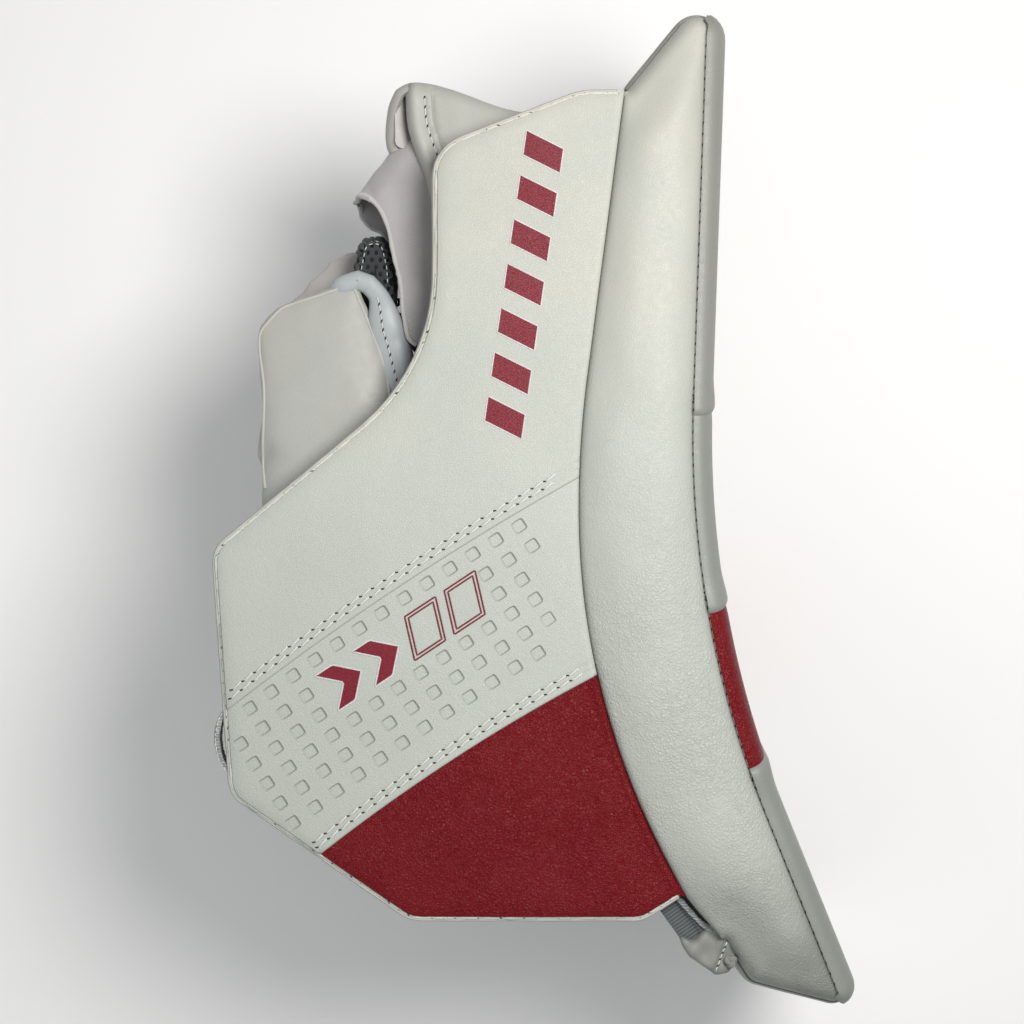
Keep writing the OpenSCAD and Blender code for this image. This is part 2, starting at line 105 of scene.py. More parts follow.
def studio():
    scene = bpy.context.scene
    scene.view_settings.view_transform = "Standard"
    world = bpy.data.worlds.new("studio")
    world.use_nodes = True
    sky = world.node_tree.nodes["Background"].inputs
    sky["Color"].default_value, sky["Strength"].default_value = (1.0, 1.0, 1.0, 1), WORLD_LIGHT
    scene.world = world
    area_light("key", (0.20, 0.15, 0.74), (0.0, 0.0, 0.15), 0.3, 4.3, (1.0, 0.985, 0.96))
    area_light("fill", (-0.9, -0.5, 1.1), (0, 0, 0.15), 1.2, 2.6, (0.95, 0.98, 1.0))
    data = bpy.data.meshes.new("floor")
    corners = [(FLOOR_HALF * x, FLOOR_HALF * y, 0) for x, y in ((-1, -1), (1, -1), (1, 1), (-1, 1))]
    data.from_pydata(corners, [], [(0, 1, 2, 3)])
    floor = linked("floor", data)
    pale = bpy.data.materials.new("pale_floor")
    pale.use_nodes = True
    shader = pale.node_tree.nodes["Principled BSDF"]
    shader.inputs["Base Color"].default_value = (0.93, 0.93, 0.93, 1)
    shader.inputs["Roughness"].default_value = 0.9
    data.materials.append(pale)


camera()
studio()


# ---- Lines and outlines ------------------------------------------------------------------------------------

def unit(v):
    v = np.asarray(v, float)
    return v / np.maximum(np.linalg.norm(v, axis=-1, keepdims=True), 1e-9)


def left_of(v):
    v = np.asarray(v, float)
    return np.stack([-v[..., 1], v[..., 0]], -1)


def cross2(a, b):
    return a[..., 0] * b[..., 1] - a[..., 1] * b[..., 0]


def full_turn(count):
    return np.linspace(0, 2 * math.pi, count, endpoint=False)


def arc(centre, radius, start, end, step=3):
    count = max(2, int(abs(end - start) / step))
    turn = np.radians(np.linspace(start, end, count + 1))
    return np.asarray(centre, float) + radius * np.stack([np.cos(turn), np.sin(turn)], 1)


def meet(p, d, q, e):
    p, d, q, e = (np.asarray(v, float) for v in (p, d, q, e))
    return p + d * cross2(q - p, e) / cross2(d, e)


def rounded(corners):
    """Outline through corners (x, y, radius), each rounded to its radius."""
    made = []
    for i, corner in enumerate(corners):
        p, radius = np.array(corner[:2], float), corner[2] if len(corner) > 2 else 0
        if not radius:
            made.append(p[None])
            continue
        a, b = np.array(corners[i - 1][:2], float), np.array(corners[(i + 1) % len(corners)][:2], float)
        u, w = unit(a - p), unit(b - p)
        half = math.acos(np.clip(u @ w, -1, 1)) / 2
        centre = p + unit(u + w) * radius / math.sin(half)
        first, last = p + u * radius / math.tan(half) - centre, p + w * radius / math.tan(half) - centre
        start = math.degrees(math.atan2(first[1], first[0]))
        turned = (math.degrees(math.atan2(last[1], last[0])) - start + 540) % 360 - 180
        made.append(arc(centre, radius, start, start + turned, 5))
    return np.concatenate(made)


def smoothed(points, step, closed=False, sharp=30):
    """The same line with a point about every step: a curve through gentle bends, with sharp corners kept."""
    p = np.asarray(points, float)
    forth = np.roll(p, -1, 0) - p
    back = p - np.roll(p, 1, 0)
    if not closed:
        forth[-1], back[0] = back[-1], forth[0]
    bend = np.degrees(np.arccos(np.clip((unit(forth) * unit(back)).sum(1), -1, 1)))
    through = unit(forth + back)
    made = []
    for i in range(len(p) if closed else len(p) - 1):
        j = (i + 1) % len(p)
        chord = p[j] - p[i]
        length = np.linalg.norm(chord)
        if length < 1e-6:
            continue
        start = through[i] * length if bend[i] < sharp else chord
        end = through[j] * length if bend[j] < sharp else chord
        t = (np.arange(max(1, round(length / step))) / max(1, round(length / step)))[:, None]
        made.append((2 * t**3 - 3 * t**2 + 1) * p[i] + (t**3 - 2 * t**2 + t) * start
                    + (3 * t**2 - 2 * t**3) * p[j] + (t**3 - t**2) * end)
    if not closed:
        made.append(p[-1:])
    return np.concatenate(made)


def travel(line):
    """Distance run along a line at each of its points."""
    return np.concatenate([[0], np.cumsum(np.linalg.norm(np.diff(line, axis=0), axis=1))])


def at(line, where):
    """Points of a line at distances along it."""
    run = travel(line)
    return np.stack([np.interp(where, run, line[:, k]) for k in range(line.shape[1])], -1)


def even(line, step):
    """The line with points a step apart."""
    length = travel(line)[-1]
    return at(line, np.linspace(0, length, max(2, int(round(length / step)) + 1)))


def distance(p, line, closed=False):
    """How far each point is from a line."""
    a = line if closed else line[:-1]
    d = (np.roll(line, -1, 0) if closed else line[1:]) - a
    size = np.maximum((d**2).sum(1), 1e-12)
    found = np.empty(len(p))
    for k in range(0, len(p), 2000):
        q = p[k:k + 2000, None] - a
        t = np.clip((q * d).sum(2) / size, 0, 1)
        found[k:k + 2000] = np.sqrt(((q - t[..., None] * d) ** 2).sum(2).min(1))
    return found


def inside(p, loop):
    a, b = loop, np.roll(loop, -1, 0)
    x, y = p[:, :1], p[:, 1:]
    crosses = (a[:, 1] > y) != (b[:, 1] > y)
    slope = np.where(b[:, 1] == a[:, 1], 1e-12, b[:, 1] - a[:, 1])
    return (crosses & (x < (b[:, 0] - a[:, 0]) * (y - a[:, 1]) / slope + a[:, 0])).sum(1) % 2 == 1


def beside(line, far, closed=False):
    """The line moved sideways, to its left."""
    line = np.asarray(line, float)
    if closed:
        way = np.roll(line, -1, 0) - np.roll(line, 1, 0)
    else:
        way = np.gradient(line, axis=0)
    return line + left_of(unit(way)) * np.reshape(far, (-1, 1) if np.ndim(far) else ())


def normal_of(line):
    """The direction to an open flat line's left, at each point."""
    return left_of(unit(np.gradient(line, axis=0)))


def lifted(line, z):
    """A flat line at a height."""
    return np.column_stack([line, np.zeros(len(line)) + z])


def even_loop(loop, step):
    return even(np.vstack([loop, loop[:1]]), step)[:-1]


def ripple(p, size, seed, waves=7):
    """A smooth random field, mostly between -1 and 1, with waves of about the given size."""
    rng = np.random.default_rng(seed)
    total = np.zeros(p.shape[:-1])
    for _ in range(waves):
        way = unit(rng.normal(size=p.shape[-1]))
        total += np.sin(p @ way * (2 * math.pi / (size * rng.uniform(0.6, 1.6))) + rng.uniform(0, 2 * math.pi))
    return total / waves**0.5


def ease(t):
    t = np.clip(t, 0, 1)
    return t * t * (3 - 2 * t)


def drop(far, reach, depth):
    """How much a rounded edge has fallen, at a distance in from it."""
    return depth * (1 - np.sqrt(np.clip(1 - (1 - np.clip(far, 0, reach) / reach) ** 2, 0, 1)))


def area(loop):
    return cross2(loop, np.roll(loop, -1, 0)).sum() / 2


def caps(node, top=True):
    """Outlines of a slab-shaped CAD node's top or bottom, anticlockwise, the largest first."""
    data = frame["nodes"][node].data
    co = np.array([v.co for v in data.vertices]) / MM
    z = co[:, 2].max() if top else co[:, 2].min()
    key = [tuple(np.round(c[:2], 2)) for c in co]
    edges = set()
    for face in data.polygons:
        ids = list(face.vertices)
        if all(abs(co[i, 2] - z) < 0.01 for i in ids):
            ring = [key[i] for i in ids]
            edges |= {(a, b) for a, b in zip(ring, ring[1:] + ring[:1]) if a != b}
    follow = {a: b for a, b in edges if (b, a) not in edges}
    loops = []
    while follow:
        start = next(iter(sorted(follow)))
        loop = [start]
        while loop[-1] in follow:
            loop.append(follow.pop(loop[-1]))
        loops.append(np.array(loop[:-1]))
    if not top:
        loops = [loop[::-1] for loop in loops]
    return sorted(loops, key=area, reverse=True)


def z_range(node):
    low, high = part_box(node)
    return low.z / MM, high.z / MM


# ---- Meshes ------------------------------------------------------------------------------------------------

SHARP = math.radians(50)        # edges bent by more than this stay sharp

def mesh(name, verts, faces, paints, marks=None):
    """A new object from points in millimetres. paints are names, and marks gives each face its paint's number."""
    data = bpy.data.meshes.new(name)
    data.from_pydata((np.asarray(verts, float) * MM).tolist(), [], [list(map(int, f)) for f in faces])
    for each in paints.split():
        data.materials.append(PAINT[each])
    if marks is not None:
        data.polygons.foreach_set("material_index", np.asarray(marks, np.int32))
    data.update()
    data.shade_smooth()
    data.set_sharp_from_angle(angle=SHARP)
    return linked(name, data)


def put(piece, body, *nodes, slot=None):
    """Says what a piece moves with, and hides the CAD nodes that it stands for; slot is not used."""
    if body == "flex":
        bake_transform(piece)
    else:
        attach(piece, body)
    if nodes:
        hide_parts(*nodes)
    return piece


def grid_faces(rows, cols, wrap=False, start=0):
    width = cols if wrap else cols - 1
    return [(start + r * cols + c, start + r * cols + (c + 1) % cols,
             start + (r + 1) * cols + (c + 1) % cols, start + (r + 1) * cols + c)
            for r in range(rows - 1) for c in range(width)]


def normals_of(rows):
    return unit(np.cross(np.gradient(rows, axis=1), np.gradient(rows, axis=0)))


def shell(name, rows, thick, paints, flip=False):
    """A closed sheet of the given thickness behind a grid of points (rows, columns, 3)."""
    rows = np.asarray(rows, float)
    n, m = rows.shape[:2]
    away = normals_of(rows) * (-1 if flip else 1)
    verts = np.concatenate([rows.reshape(-1, 3), (rows - away * thick).reshape(-1, 3)])
    front = grid_faces(n, m)
    back = [tuple(i + n * m for i in reversed(f)) for f in front]
    rim = [r * m for r in range(n)] + [(n - 1) * m + c for c in range(1, m)]
    rim += [r * m + m - 1 for r in range(n - 2, -1, -1)] + [c for c in range(m - 2, 0, -1)]
    side = [(a, a + n * m, b + n * m, b) for a, b in zip(rim, rim[1:] + rim[:1])]
    faces = front + back + [f[::-1] for f in side]
    if not flip:
        faces = [f[::-1] for f in faces]
    return mesh(name, verts, faces, paints)


def sweep(name, path, section, paints, up=UP, closed=False, scale=None):
    """A section (sideways, up) carried along a path, closed at its ends."""
    path = np.asarray(path, float)
    way = np.roll(path, -1, 0) - np.roll(path, 1, 0)
    if not closed:
        way = np.gradient(path, axis=0)
    way = unit(way)
    up = np.broadcast_to(np.asarray(up, float), path.shape)
    side = unit(np.cross(up, way))
    lift = np.cross(way, side)
    scale = np.ones(len(path)) if scale is None else np.asarray(scale)
    section = np.asarray(section, float)
    rings = path[:, None] + (section[:, 0, None] * side[:, None] + section[:, 1, None] * lift[:, None]) \
        * scale[:, None, None]
    n, m = rings.shape[:2]
    faces = grid_faces(n, m, wrap=True)
    if closed:
        faces += [((n - 1) * m + c, (n - 1) * m + (c + 1) % m, (c + 1) % m, c) for c in range(m)]
    else:
        faces += [tuple(range(m))[::-1], tuple(range((n - 1) * m, n * m))]
    return mesh(name, rings.reshape(-1, 3), faces, paints)


def tube(name, path, section, paints, body, *nodes, slot=None, **more):
    return put(sweep(name, path, section, paints, **more), body, *nodes, slot=slot)


def circle(radius, count=12, squash=1.0):
    turn = full_turn(count)
    return np.stack([radius * np.cos(turn), radius * squash * np.sin(turn)], 1)


def ring_section(width, height, count=14, power=0.6, upright=None):
    """A section between an ellipse and a rectangle; a smaller power gives sharper corners."""
    turn = full_turn(count)
    return np.stack([width / 2 * np.sign(np.cos(turn)) * np.abs(np.cos(turn)) ** power,
                     height / 2 * np.sign(np.sin(turn)) * np.abs(np.sin(turn)) ** (upright or power)], 1)


RIM = (0.25, 0.7, 1.4, 2.3, 3.5, 5.0, 6.8)


def spread(outline, rim, step, lines, loops):
    """Points that a plate needs: rings inside its outline, rows along its lines, and a net between them."""
    way = unit(np.roll(outline, -1, 0) - np.roll(outline, 1, 0))
    rings, rows = [np.empty((0, 2))], [np.empty((0, 2))]
    for far in rim:
        ring = outline + left_of(way) * far
        ring = ring[inside(ring, outline)]
        rings.append(ring[distance(ring, outline, True) > 0.93 * far])
    for line, width in lines:
        for far in (-width, -0.5 * width, 0, 0.5 * width, width):
            row = even(beside(line, far), 1.3)
            row = row[inside(row, outline)]
            rows.append(row[distance(row, outline, True) > 0.4])
    low, high = outline.min(0), outline.max(0)
    x, y = np.meshgrid(np.arange(low[0], high[0], step), np.arange(low[1], high[1], step * 0.866))
    x[1::2] += step / 2
    net = np.stack([x.ravel(), y.ravel()], 1)
    net = net[inside(net, outline)]
    clear = (rim[-1] if rim else 0) + 0.5 * step
    net = net[distance(net, outline, True) > clear]
    points = np.concatenate([*rings, net])
    for line, width in lines:
        points = points[distance(points, line) > width + 0.5]
    points = np.concatenate([points, *rows])
    for loop in loops:
        near = np.flatnonzero(np.abs(points - loop.mean(0)).max(1) < np.ptp(loop, axis=0).max())
        if len(near):
            bad = inside(points[near], loop) | (distance(points[near], loop, True) < 0.5)
            points = np.delete(points, near[bad], axis=0)
    return points


def plate(name, outline, height, low, paints, rim=RIM, step=2.6, lines=(), dents=(), down=False):
    """A closed soft sheet with the given outline, height of its face, and flat other side at low.

    lines are (line, width) where points lie close together, dents are (loop, depth), and down turns the
    face to look down."""
    outline = np.asarray(outline, float)
    loops = [loop for loop, depth in dents]
    points = np.concatenate([outline, *loops, spread(outline, rim, step, lines, loops[::2])])
    sink = np.zeros(len(points))
    edges, start = [], len(outline)
    for loop, depth in dents:
        ids = list(range(start, start + len(loop)))
        edges += list(zip(ids, ids[1:] + ids[:1]))
        sink[ids] = depth
        start += len(loop)
    verts, _, faces, source, _, _ = geometry.delaunay_2d_cdt(
        [Vector(p) for p in points], edges, [list(range(len(outline)))], 1, 1e-4)
    flat = np.array([v[:2] for v in verts])
    depth = np.array([max((sink[i] for i in ids), default=0) for ids in source])
    border = np.zeros(len(outline), int)
    for k, ids in enumerate(source):
        for i in ids:
            if i < len(outline):
                border[i] = k
    count = len(flat)
    body, foot = lifted(flat, height(flat) - depth), lifted(outline, low)
    nxt = np.roll(np.arange(len(outline)), -1)
    faces = [tuple(f) for f in faces]
    faces += [(border[i], count + i, count + nxt[i], border[nxt[i]]) for i in range(len(outline))]
    faces.append(tuple(range(count + len(outline) - 1, count - 1, -1)))
    if down:
        faces = [f[::-1] for f in faces]
    return mesh(name, np.concatenate([body, foot]), faces, paints)


def laid(line, height, lift=0.0):
    """A flat line laid on a surface of the given height, with the surface's normals along it."""
    e = 0.3
    z = height(line)
    slope = [(height(line + step) - height(line - step)) / (2 * e) for step in np.array([[e, 0], [0, e]])]
    return np.column_stack([line, z + lift]), unit(np.column_stack([-slope[0], -slope[1], np.ones(len(z))]))


def path_frame(path, up, where):
    """Points at distances along a path, with the surface's normal, the path's direction and its side."""
    run = travel(path)
    lift = unit(np.stack([np.interp(where, run, up[:, k]) for k in range(3)], -1))
    way = unit(at(path, where + 0.3) - at(path, where - 0.3))
    return at(path, where), lift, way, unit(np.cross(lift, way))


# A stitch from end to end: places along it, its width and its height there, as shares of its thickness
STITCH_PLACES = np.array([0, 0.08, 0.25, 0.5, 0.75, 0.92, 1])
STITCH_WIDE = np.array([0.45, 0.85, 1, 1, 1, 0.85, 0.45])
STITCH_HIGH = np.array([-0.6, 0.1, 0.5, 0.65, 0.5, 0.1, -0.6])
STITCH_SIDES, HOLE_SIDES = 6, 8
HOLE_LONG, HOLE_WIDE = 0.95, 0.34


def stitches(name, path, up, body, pitch=5.5, length=4.7, thick=0.42, slant=0.0, holes=True):
    """A row of sewn stitches along a path, with dark discs between them, painted shade for the needle holes."""
    total = travel(path)[-1]
    starts = np.arange(0.4, total - length, pitch)
    count, rings = len(starts), len(STITCH_PLACES)
    up = np.broadcast_to(up, path.shape)
    spot, lift, _, side = path_frame(path, up, (starts[:, None] + STITCH_PLACES * length).ravel())
    wide, high, lean = (np.tile(shape, count)[:, None]
                        for shape in (STITCH_WIDE * thick, STITCH_HIGH * thick, (STITCH_PLACES - 0.5) * slant))
    centre = spot + lift * high + side * lean
    turn = full_turn(STITCH_SIDES)
    verts = centre[:, None] + wide[:, None] * (np.cos(turn)[:, None] * side[:, None]
                                              + np.sin(turn)[:, None] * lift[:, None])
    verts, faces, size = verts.reshape(-1, 3), [], rings * STITCH_SIDES
    for first in range(0, count * size, size):
        faces += [tuple(reversed(f)) for f in grid_faces(rings, STITCH_SIDES, wrap=True, start=first)]
        faces += [tuple(range(first, first + STITCH_SIDES)),
                  tuple(range(first + size - 1, first + size - 1 - STITCH_SIDES, -1))]
    marks = [0] * len(faces)
    if holes:
        spot, lift, way, side = path_frame(path, up, np.clip(starts - (pitch - length) / 2, 0, total))
        turn = full_turn(HOLE_SIDES)
        slit = unit(way - 0.5 * side)
        discs = (spot + lift * 0.06)[:, None] + HOLE_LONG * np.cos(turn)[:, None] * slit[:, None] \
            + HOLE_WIDE * np.sin(turn)[:, None] * np.cross(lift, slit)[:, None]
        faces += [tuple(range(first, first + HOLE_SIDES))
                  for first in range(len(verts), len(verts) + HOLE_SIDES * count, HOLE_SIDES)]
        verts = np.concatenate([verts, discs.reshape(-1, 3)])
        marks += [1] * count
    return put(mesh(name, verts, faces, "thread hole", marks), body)


# ---- Materials: textures are set by the object's own coordinates, and their sizes are in millimetres -------

class Paint:
    """A material under construction, with a Principled shader. Its lengths are in millimetres."""

    def __init__(self, name, rough, **fixed):
        self.material = bpy.data.materials.new(name)
        self.material.use_nodes = True
        self.tree = self.material.node_tree
        self.shader = self.tree.nodes["Principled BSDF"]
        self.shader.inputs["Roughness"].default_value = rough
        for key, value in fixed.items():
            self.shader.inputs[key.replace("_", " ")].default_value = value
        self.place = self.node("TexCoord").outputs["Object"]

    def node(self, kind, inputs=(), **settings):
        made = self.tree.nodes.new("ShaderNode" + kind)
        for key, value in settings.items():
            setattr(made, key, value)
        for key, value in dict(inputs).items():
            if isinstance(value, bpy.types.NodeSocket):
                self.tree.links.new(value, made.inputs[key])
            else:
                made.inputs[key].default_value = value
        return made

    def noise(self, size, detail=2.0, place=None):
        return self.node("TexNoise", {"Vector": place or self.place, "Scale": 1 / (size * MM),
                                      "Detail": detail}).outputs["Fac"]

    def cells(self, size, feature="F1", place=None, output="Distance"):
        return self.node("TexVoronoi", {"Vector": place or self.place, "Scale": 1 / (size * MM)},
                         feature=feature).outputs[output]

    def waves(self, size, axis, place=None, distortion=0.5):
        """Parallel waves of the given length along an axis; the texture's own waves are pi / 10 long."""
        return self.node("TexWave", {"Vector": place or self.place, "Scale": math.pi / 10 / (size * MM),
                                     "Distortion": distortion}, bands_direction=axis).outputs["Fac"]

    def math(self, operation, a, b=0.0):
        return self.node("Math", {0: a, 1: b}, operation=operation).outputs[0]

    def times(self, a, b):
        return self.math("MULTIPLY", a, b)

    def plus(self, a, b):
        return self.math("ADD", a, b)

    def ramp(self, value, low, high, start=0.0, end=1.0):
        return self.node("MapRange", {"Value": value, "From Min": low, "From Max": high,
                                      "To Min": start, "To Max": end}).outputs["Result"]

    def mix(self, share, a, b):
        a, b = ((*v, 1) if isinstance(v, tuple) and len(v) == 3 else v for v in (a, b))
        return self.node("Mix", {0: share, 6: a, 7: b}, data_type="RGBA").outputs[2]

    def stretched(self, x=1.0, y=1.0, z=1.0, turn=(0, 0, 0)):
        return self.node("Mapping", {"Vector": self.place, "Scale": (x, y, z), "Rotation": turn}).outputs["Vector"]

    def warped(self, size, far):
        """Coordinates pushed about by noise, so that cells don't look regular."""
        push = self.node("TexNoise", {"Vector": self.place, "Scale": 1 / (size * MM)}).outputs["Color"]
        centred = self.node("VectorMath", {0: push, 1: (0.5, 0.5, 0.5)}, operation="SUBTRACT").outputs["Vector"]
        scaled = self.node("VectorMath", {0: centred, "Scale": far * MM}, operation="SCALE").outputs["Vector"]
        return self.node("VectorMath", {0: self.place, 1: scaled}, operation="ADD").outputs["Vector"]

    def bump(self, height, depth, below=None, share=1.0):
        inputs = {"Height": height, "Distance": depth * MM, "Strength": share}
        if below is not None:
            inputs["Normal"] = below
        return self.node("Bump", inputs).outputs["Normal"]

    def along(self, axis):
        return self.node("SeparateXYZ", {"Vector": self.place}).outputs[axis]

    def cloth(self, height, depth, colour, low, high, dark, blotch, share, dull):
        """Bumpy, painted darker in the hollows as painted shade, and with duller blotches."""
        base = self.mix(self.ramp(height, low, high), shade(colour, dark), colour)
        base = self.mix(self.ramp(self.noise(blotch, 3), 0.4, 0.7, 0.0, share), base, shade(colour, dull))
        return self.done(base, None, self.bump(height, depth))

    def done(self, colour, rough=None, normal=None):
        links = self.tree.links
        if isinstance(colour, tuple):
            self.shader.inputs["Base Color"].default_value = (*colour, 1)
        else:
            links.new(colour, self.shader.inputs["Base Color"])
        if rough is not None:
            links.new(rough, self.shader.inputs["Roughness"])
        if normal is not None:
            links.new(normal, self.shader.inputs["Normal"])
        return self.material


def shade(colour, by):
    return tuple(c * by for c in colour)


# The first colour is for real stains; the second is painted shade for the roll's cuff end.
DIRT, END_SHADE = (0.16, 0.14, 0.11), (0.085, 0.085, 0.075)


def leather(name, cool, warm, pore, grain, rough, crease=0.0, dirt=0.5, sink=0.9, shine=0.45, wear_and_shade=0.0):
    """Coated leather: fine pores, wrinkles that grow towards the cuff, faint stains, specks and hair scratches, and,
    when asked, painted shade that darkens the cuff end.
    """
    p = Paint(name, rough, Specular_IOR_Level=shine)
    warped = p.warped(2.2, 0.9)
    pores = p.ramp(p.cells(pore, "DISTANCE_TO_EDGE", warped), 0.0, 0.22)
    fine = p.noise(0.35, 3)
    pits = p.plus(p.times(pores, 0.7), p.times(fine, 0.5))
    normal = p.bump(p.noise(22, 2), 0.55)
    if crease:
        bent = p.warped(6.0, 3.2)
        folds = p.ramp(p.cells(1.35, "DISTANCE_TO_EDGE", bent), 0.0, 0.35)
        wrinkles = p.plus(folds, p.times(p.noise(3.5, 4, bent), 2.2))
        where = p.times(p.ramp(p.along("Y"), 0.05, -0.07, 0.12, 1.0), p.ramp(p.noise(30), 0.3, 0.6, 0.45, 1))
        wrinkles = p.times(wrinkles, where)
        normal = p.bump(wrinkles, crease, normal)
    normal = p.bump(pits, grain, normal)
    # Painted light: warmer and mostly lighter towards the fingertip end, cooler and darker towards the cuff.
    base = p.mix(p.ramp(p.along("Y"), -0.06, 0.14), cool, warm)
    base = p.mix(p.ramp(p.noise(38, 3), 0.35, 0.7), base, p.mix(0.5, base, shade(cool, 0.93)))
    # Painted shade: the pores' hollows are painted darker, by sink.
    base = p.mix(p.ramp(pores, 0.0, 0.6, 0.16, 0.0), base, shade(cool, sink * 0.7))
    spot_place = p.warped(9, 6)
    spots = p.ramp(p.cells(13, "F1", spot_place), 0.012, 0.028, 1.0, 0.0)
    chosen = p.ramp(p.noise(16), 0.55, 0.6)
    hairs = p.ramp(p.math("ABSOLUTE", p.math("SUBTRACT", p.noise(9, 1), 0.5)), 0.0, 0.0035, 1.0, 0.0)
    hairs = p.times(hairs, p.ramp(p.noise(5, 0), 0.70, 0.72))
    marks = p.math("MAXIMUM", p.times(spots, chosen), p.times(hairs, 0.6))
    base = p.mix(p.times(marks, dirt), base, DIRT)
    # Painted shade: darker from 125 to 185 mm towards the cuff, blotched by noise.
    if wear_and_shade:
        end_shade = p.times(p.ramp(p.along("Y"), -0.125, -0.185, 0.0, wear_and_shade), p.ramp(p.noise(20), 0.3, 0.7, 0.7, 1))
        base = p.mix(end_shade, base, END_SHADE)
    gloss = p.ramp(p.noise(3, 3), 0.25, 0.75, rough - 0.05, rough + 0.08)
    return p.done(base, gloss, normal)


def printed(name, colour):
    """Printed film that follows the leather under it, a little cracked."""
    p = Paint(name, 0.42, Specular_IOR_Level=0.3)
    cracks = p.ramp(p.cells(0.9, "DISTANCE_TO_EDGE", p.warped(2.5, 1.2)), 0.0, 0.05)
    wear_and_shade = p.ramp(p.noise(1.1, 4), 0.66, 0.74)
    base = p.mix(p.times(p.ramp(p.noise(12), 0.4, 0.7), 0.25), colour, shade(colour, 0.8))
    base = p.mix(p.times(wear_and_shade, 0.25), base, p.mix(0.3, base, (0.8, 0.7, 0.7)))
    height = p.plus(cracks, p.noise(0.5, 3))
    return p.done(base, p.ramp(p.noise(2), 0.3, 0.7, 0.36, 0.5), p.bump(height, 0.07))


def thread_paint(name, colour):
    p = Paint(name, 0.7, Sheen_Weight=0.3)
    twist = p.waves(0.5, "DIAGONAL", p.warped(1.5, 0.2))
    # Painted shade: darker in the grooves of the twist.
    base = p.mix(twist, shade(colour, 0.72), colour)
    return p.done(base, None, p.bump(twist, 0.12))


def woven(name, colour, size, flat=(0, 1, 1), depth=0.25):
    """Plain weave: over and under threads, in the two directions that flat keeps."""
    p = Paint(name, 0.75, Sheen_Weight=0.2)
    place = p.stretched(*flat)
    axes = [axis for axis, keep in zip("XYZ", flat) if keep]
    waves = [p.waves(size, axis, place) for axis in axes]
    over = p.node("TexChecker", {"Vector": place, "Scale": 1 / (size * MM)}).outputs["Fac"]
    height = p.plus(p.times(over, waves[0]),
                    p.times(p.math("SUBTRACT", 1.0, over), waves[1]))
    height = p.plus(height, p.times(p.noise(size * 0.35, 3), 0.35))
    return p.cloth(height, depth, colour, 0.2, 1.2, 0.44, 14, 0.3, 0.7)


def ribbed(name, colour, size, turn):
    """Elastic: cords along its length, crossed by fine threads."""
    p = Paint(name, 0.7, Sheen_Weight=0.25)
    place = p.stretched(turn=(0, 0, turn))
    cords = p.waves(size, "X", place)
    cross = p.waves(0.7, "Y", place, 1.0)
    height = p.plus(cords, p.times(cross, 0.35))
    # Painted shade: darker between the cords.
    base = p.mix(p.ramp(height, 0.1, 1.2), shade(colour, 0.45), colour)
    return p.done(base, None, p.bump(height, 0.3))


def jersey_paint(name, colour, turn):
    """Knitted cloth: fine slanting twill lines, fuzz and soft shading."""
    p = Paint(name, 0.85, Sheen_Weight=0.45, Sheen_Roughness=0.5)
    place = p.stretched(turn=(0, 0, turn))
    lines = p.waves(0.6, "X", place, 1.0)
    knit = p.waves(0.6, "Y", place, 1.5)
    height = p.plus(lines, p.times(knit, 0.5))
    height = p.plus(height, p.times(p.noise(0.3, 3), 0.5))
    return p.cloth(height, 0.09, colour, 0.3, 1.6, 0.92, 17, 0.35, 0.85)


def fuzzy(name, colour, size, depth=0.25, rough=0.9):
    """Suede, foam, hook and loop: a matte surface with short fibres or cells."""
    p = Paint(name, rough, Sheen_Weight=0.3)
    nap = p.plus(p.noise(size, 4), p.times(p.cells(size * 1.4, "F1"), 0.6))
    return p.cloth(nap, depth, colour, 0.5, 1.1, 0.68, 9, 0.4, 0.82)


def metal(name, colour):
    p = Paint(name, 0.28, Metallic=1.0)
    wear_and_shade = p.ramp(p.noise(1.2, 4), 0.45, 0.7)
    return p.done(p.mix(wear_and_shade, colour, shade(colour, 0.6)), p.ramp(p.noise(0.8, 3), 0.3, 0.7, 0.2, 0.45),
                  p.bump(p.noise(0.9, 3), 0.05))


COOL = (0.445, 0.475, 0.43)
WARM = (0.50, 0.495, 0.44)
RED = (0.14, 0.001, 0.004)
PALE = (0.37, 0.38, 0.365)
PINKISH = (0.45, 0.43, 0.41)

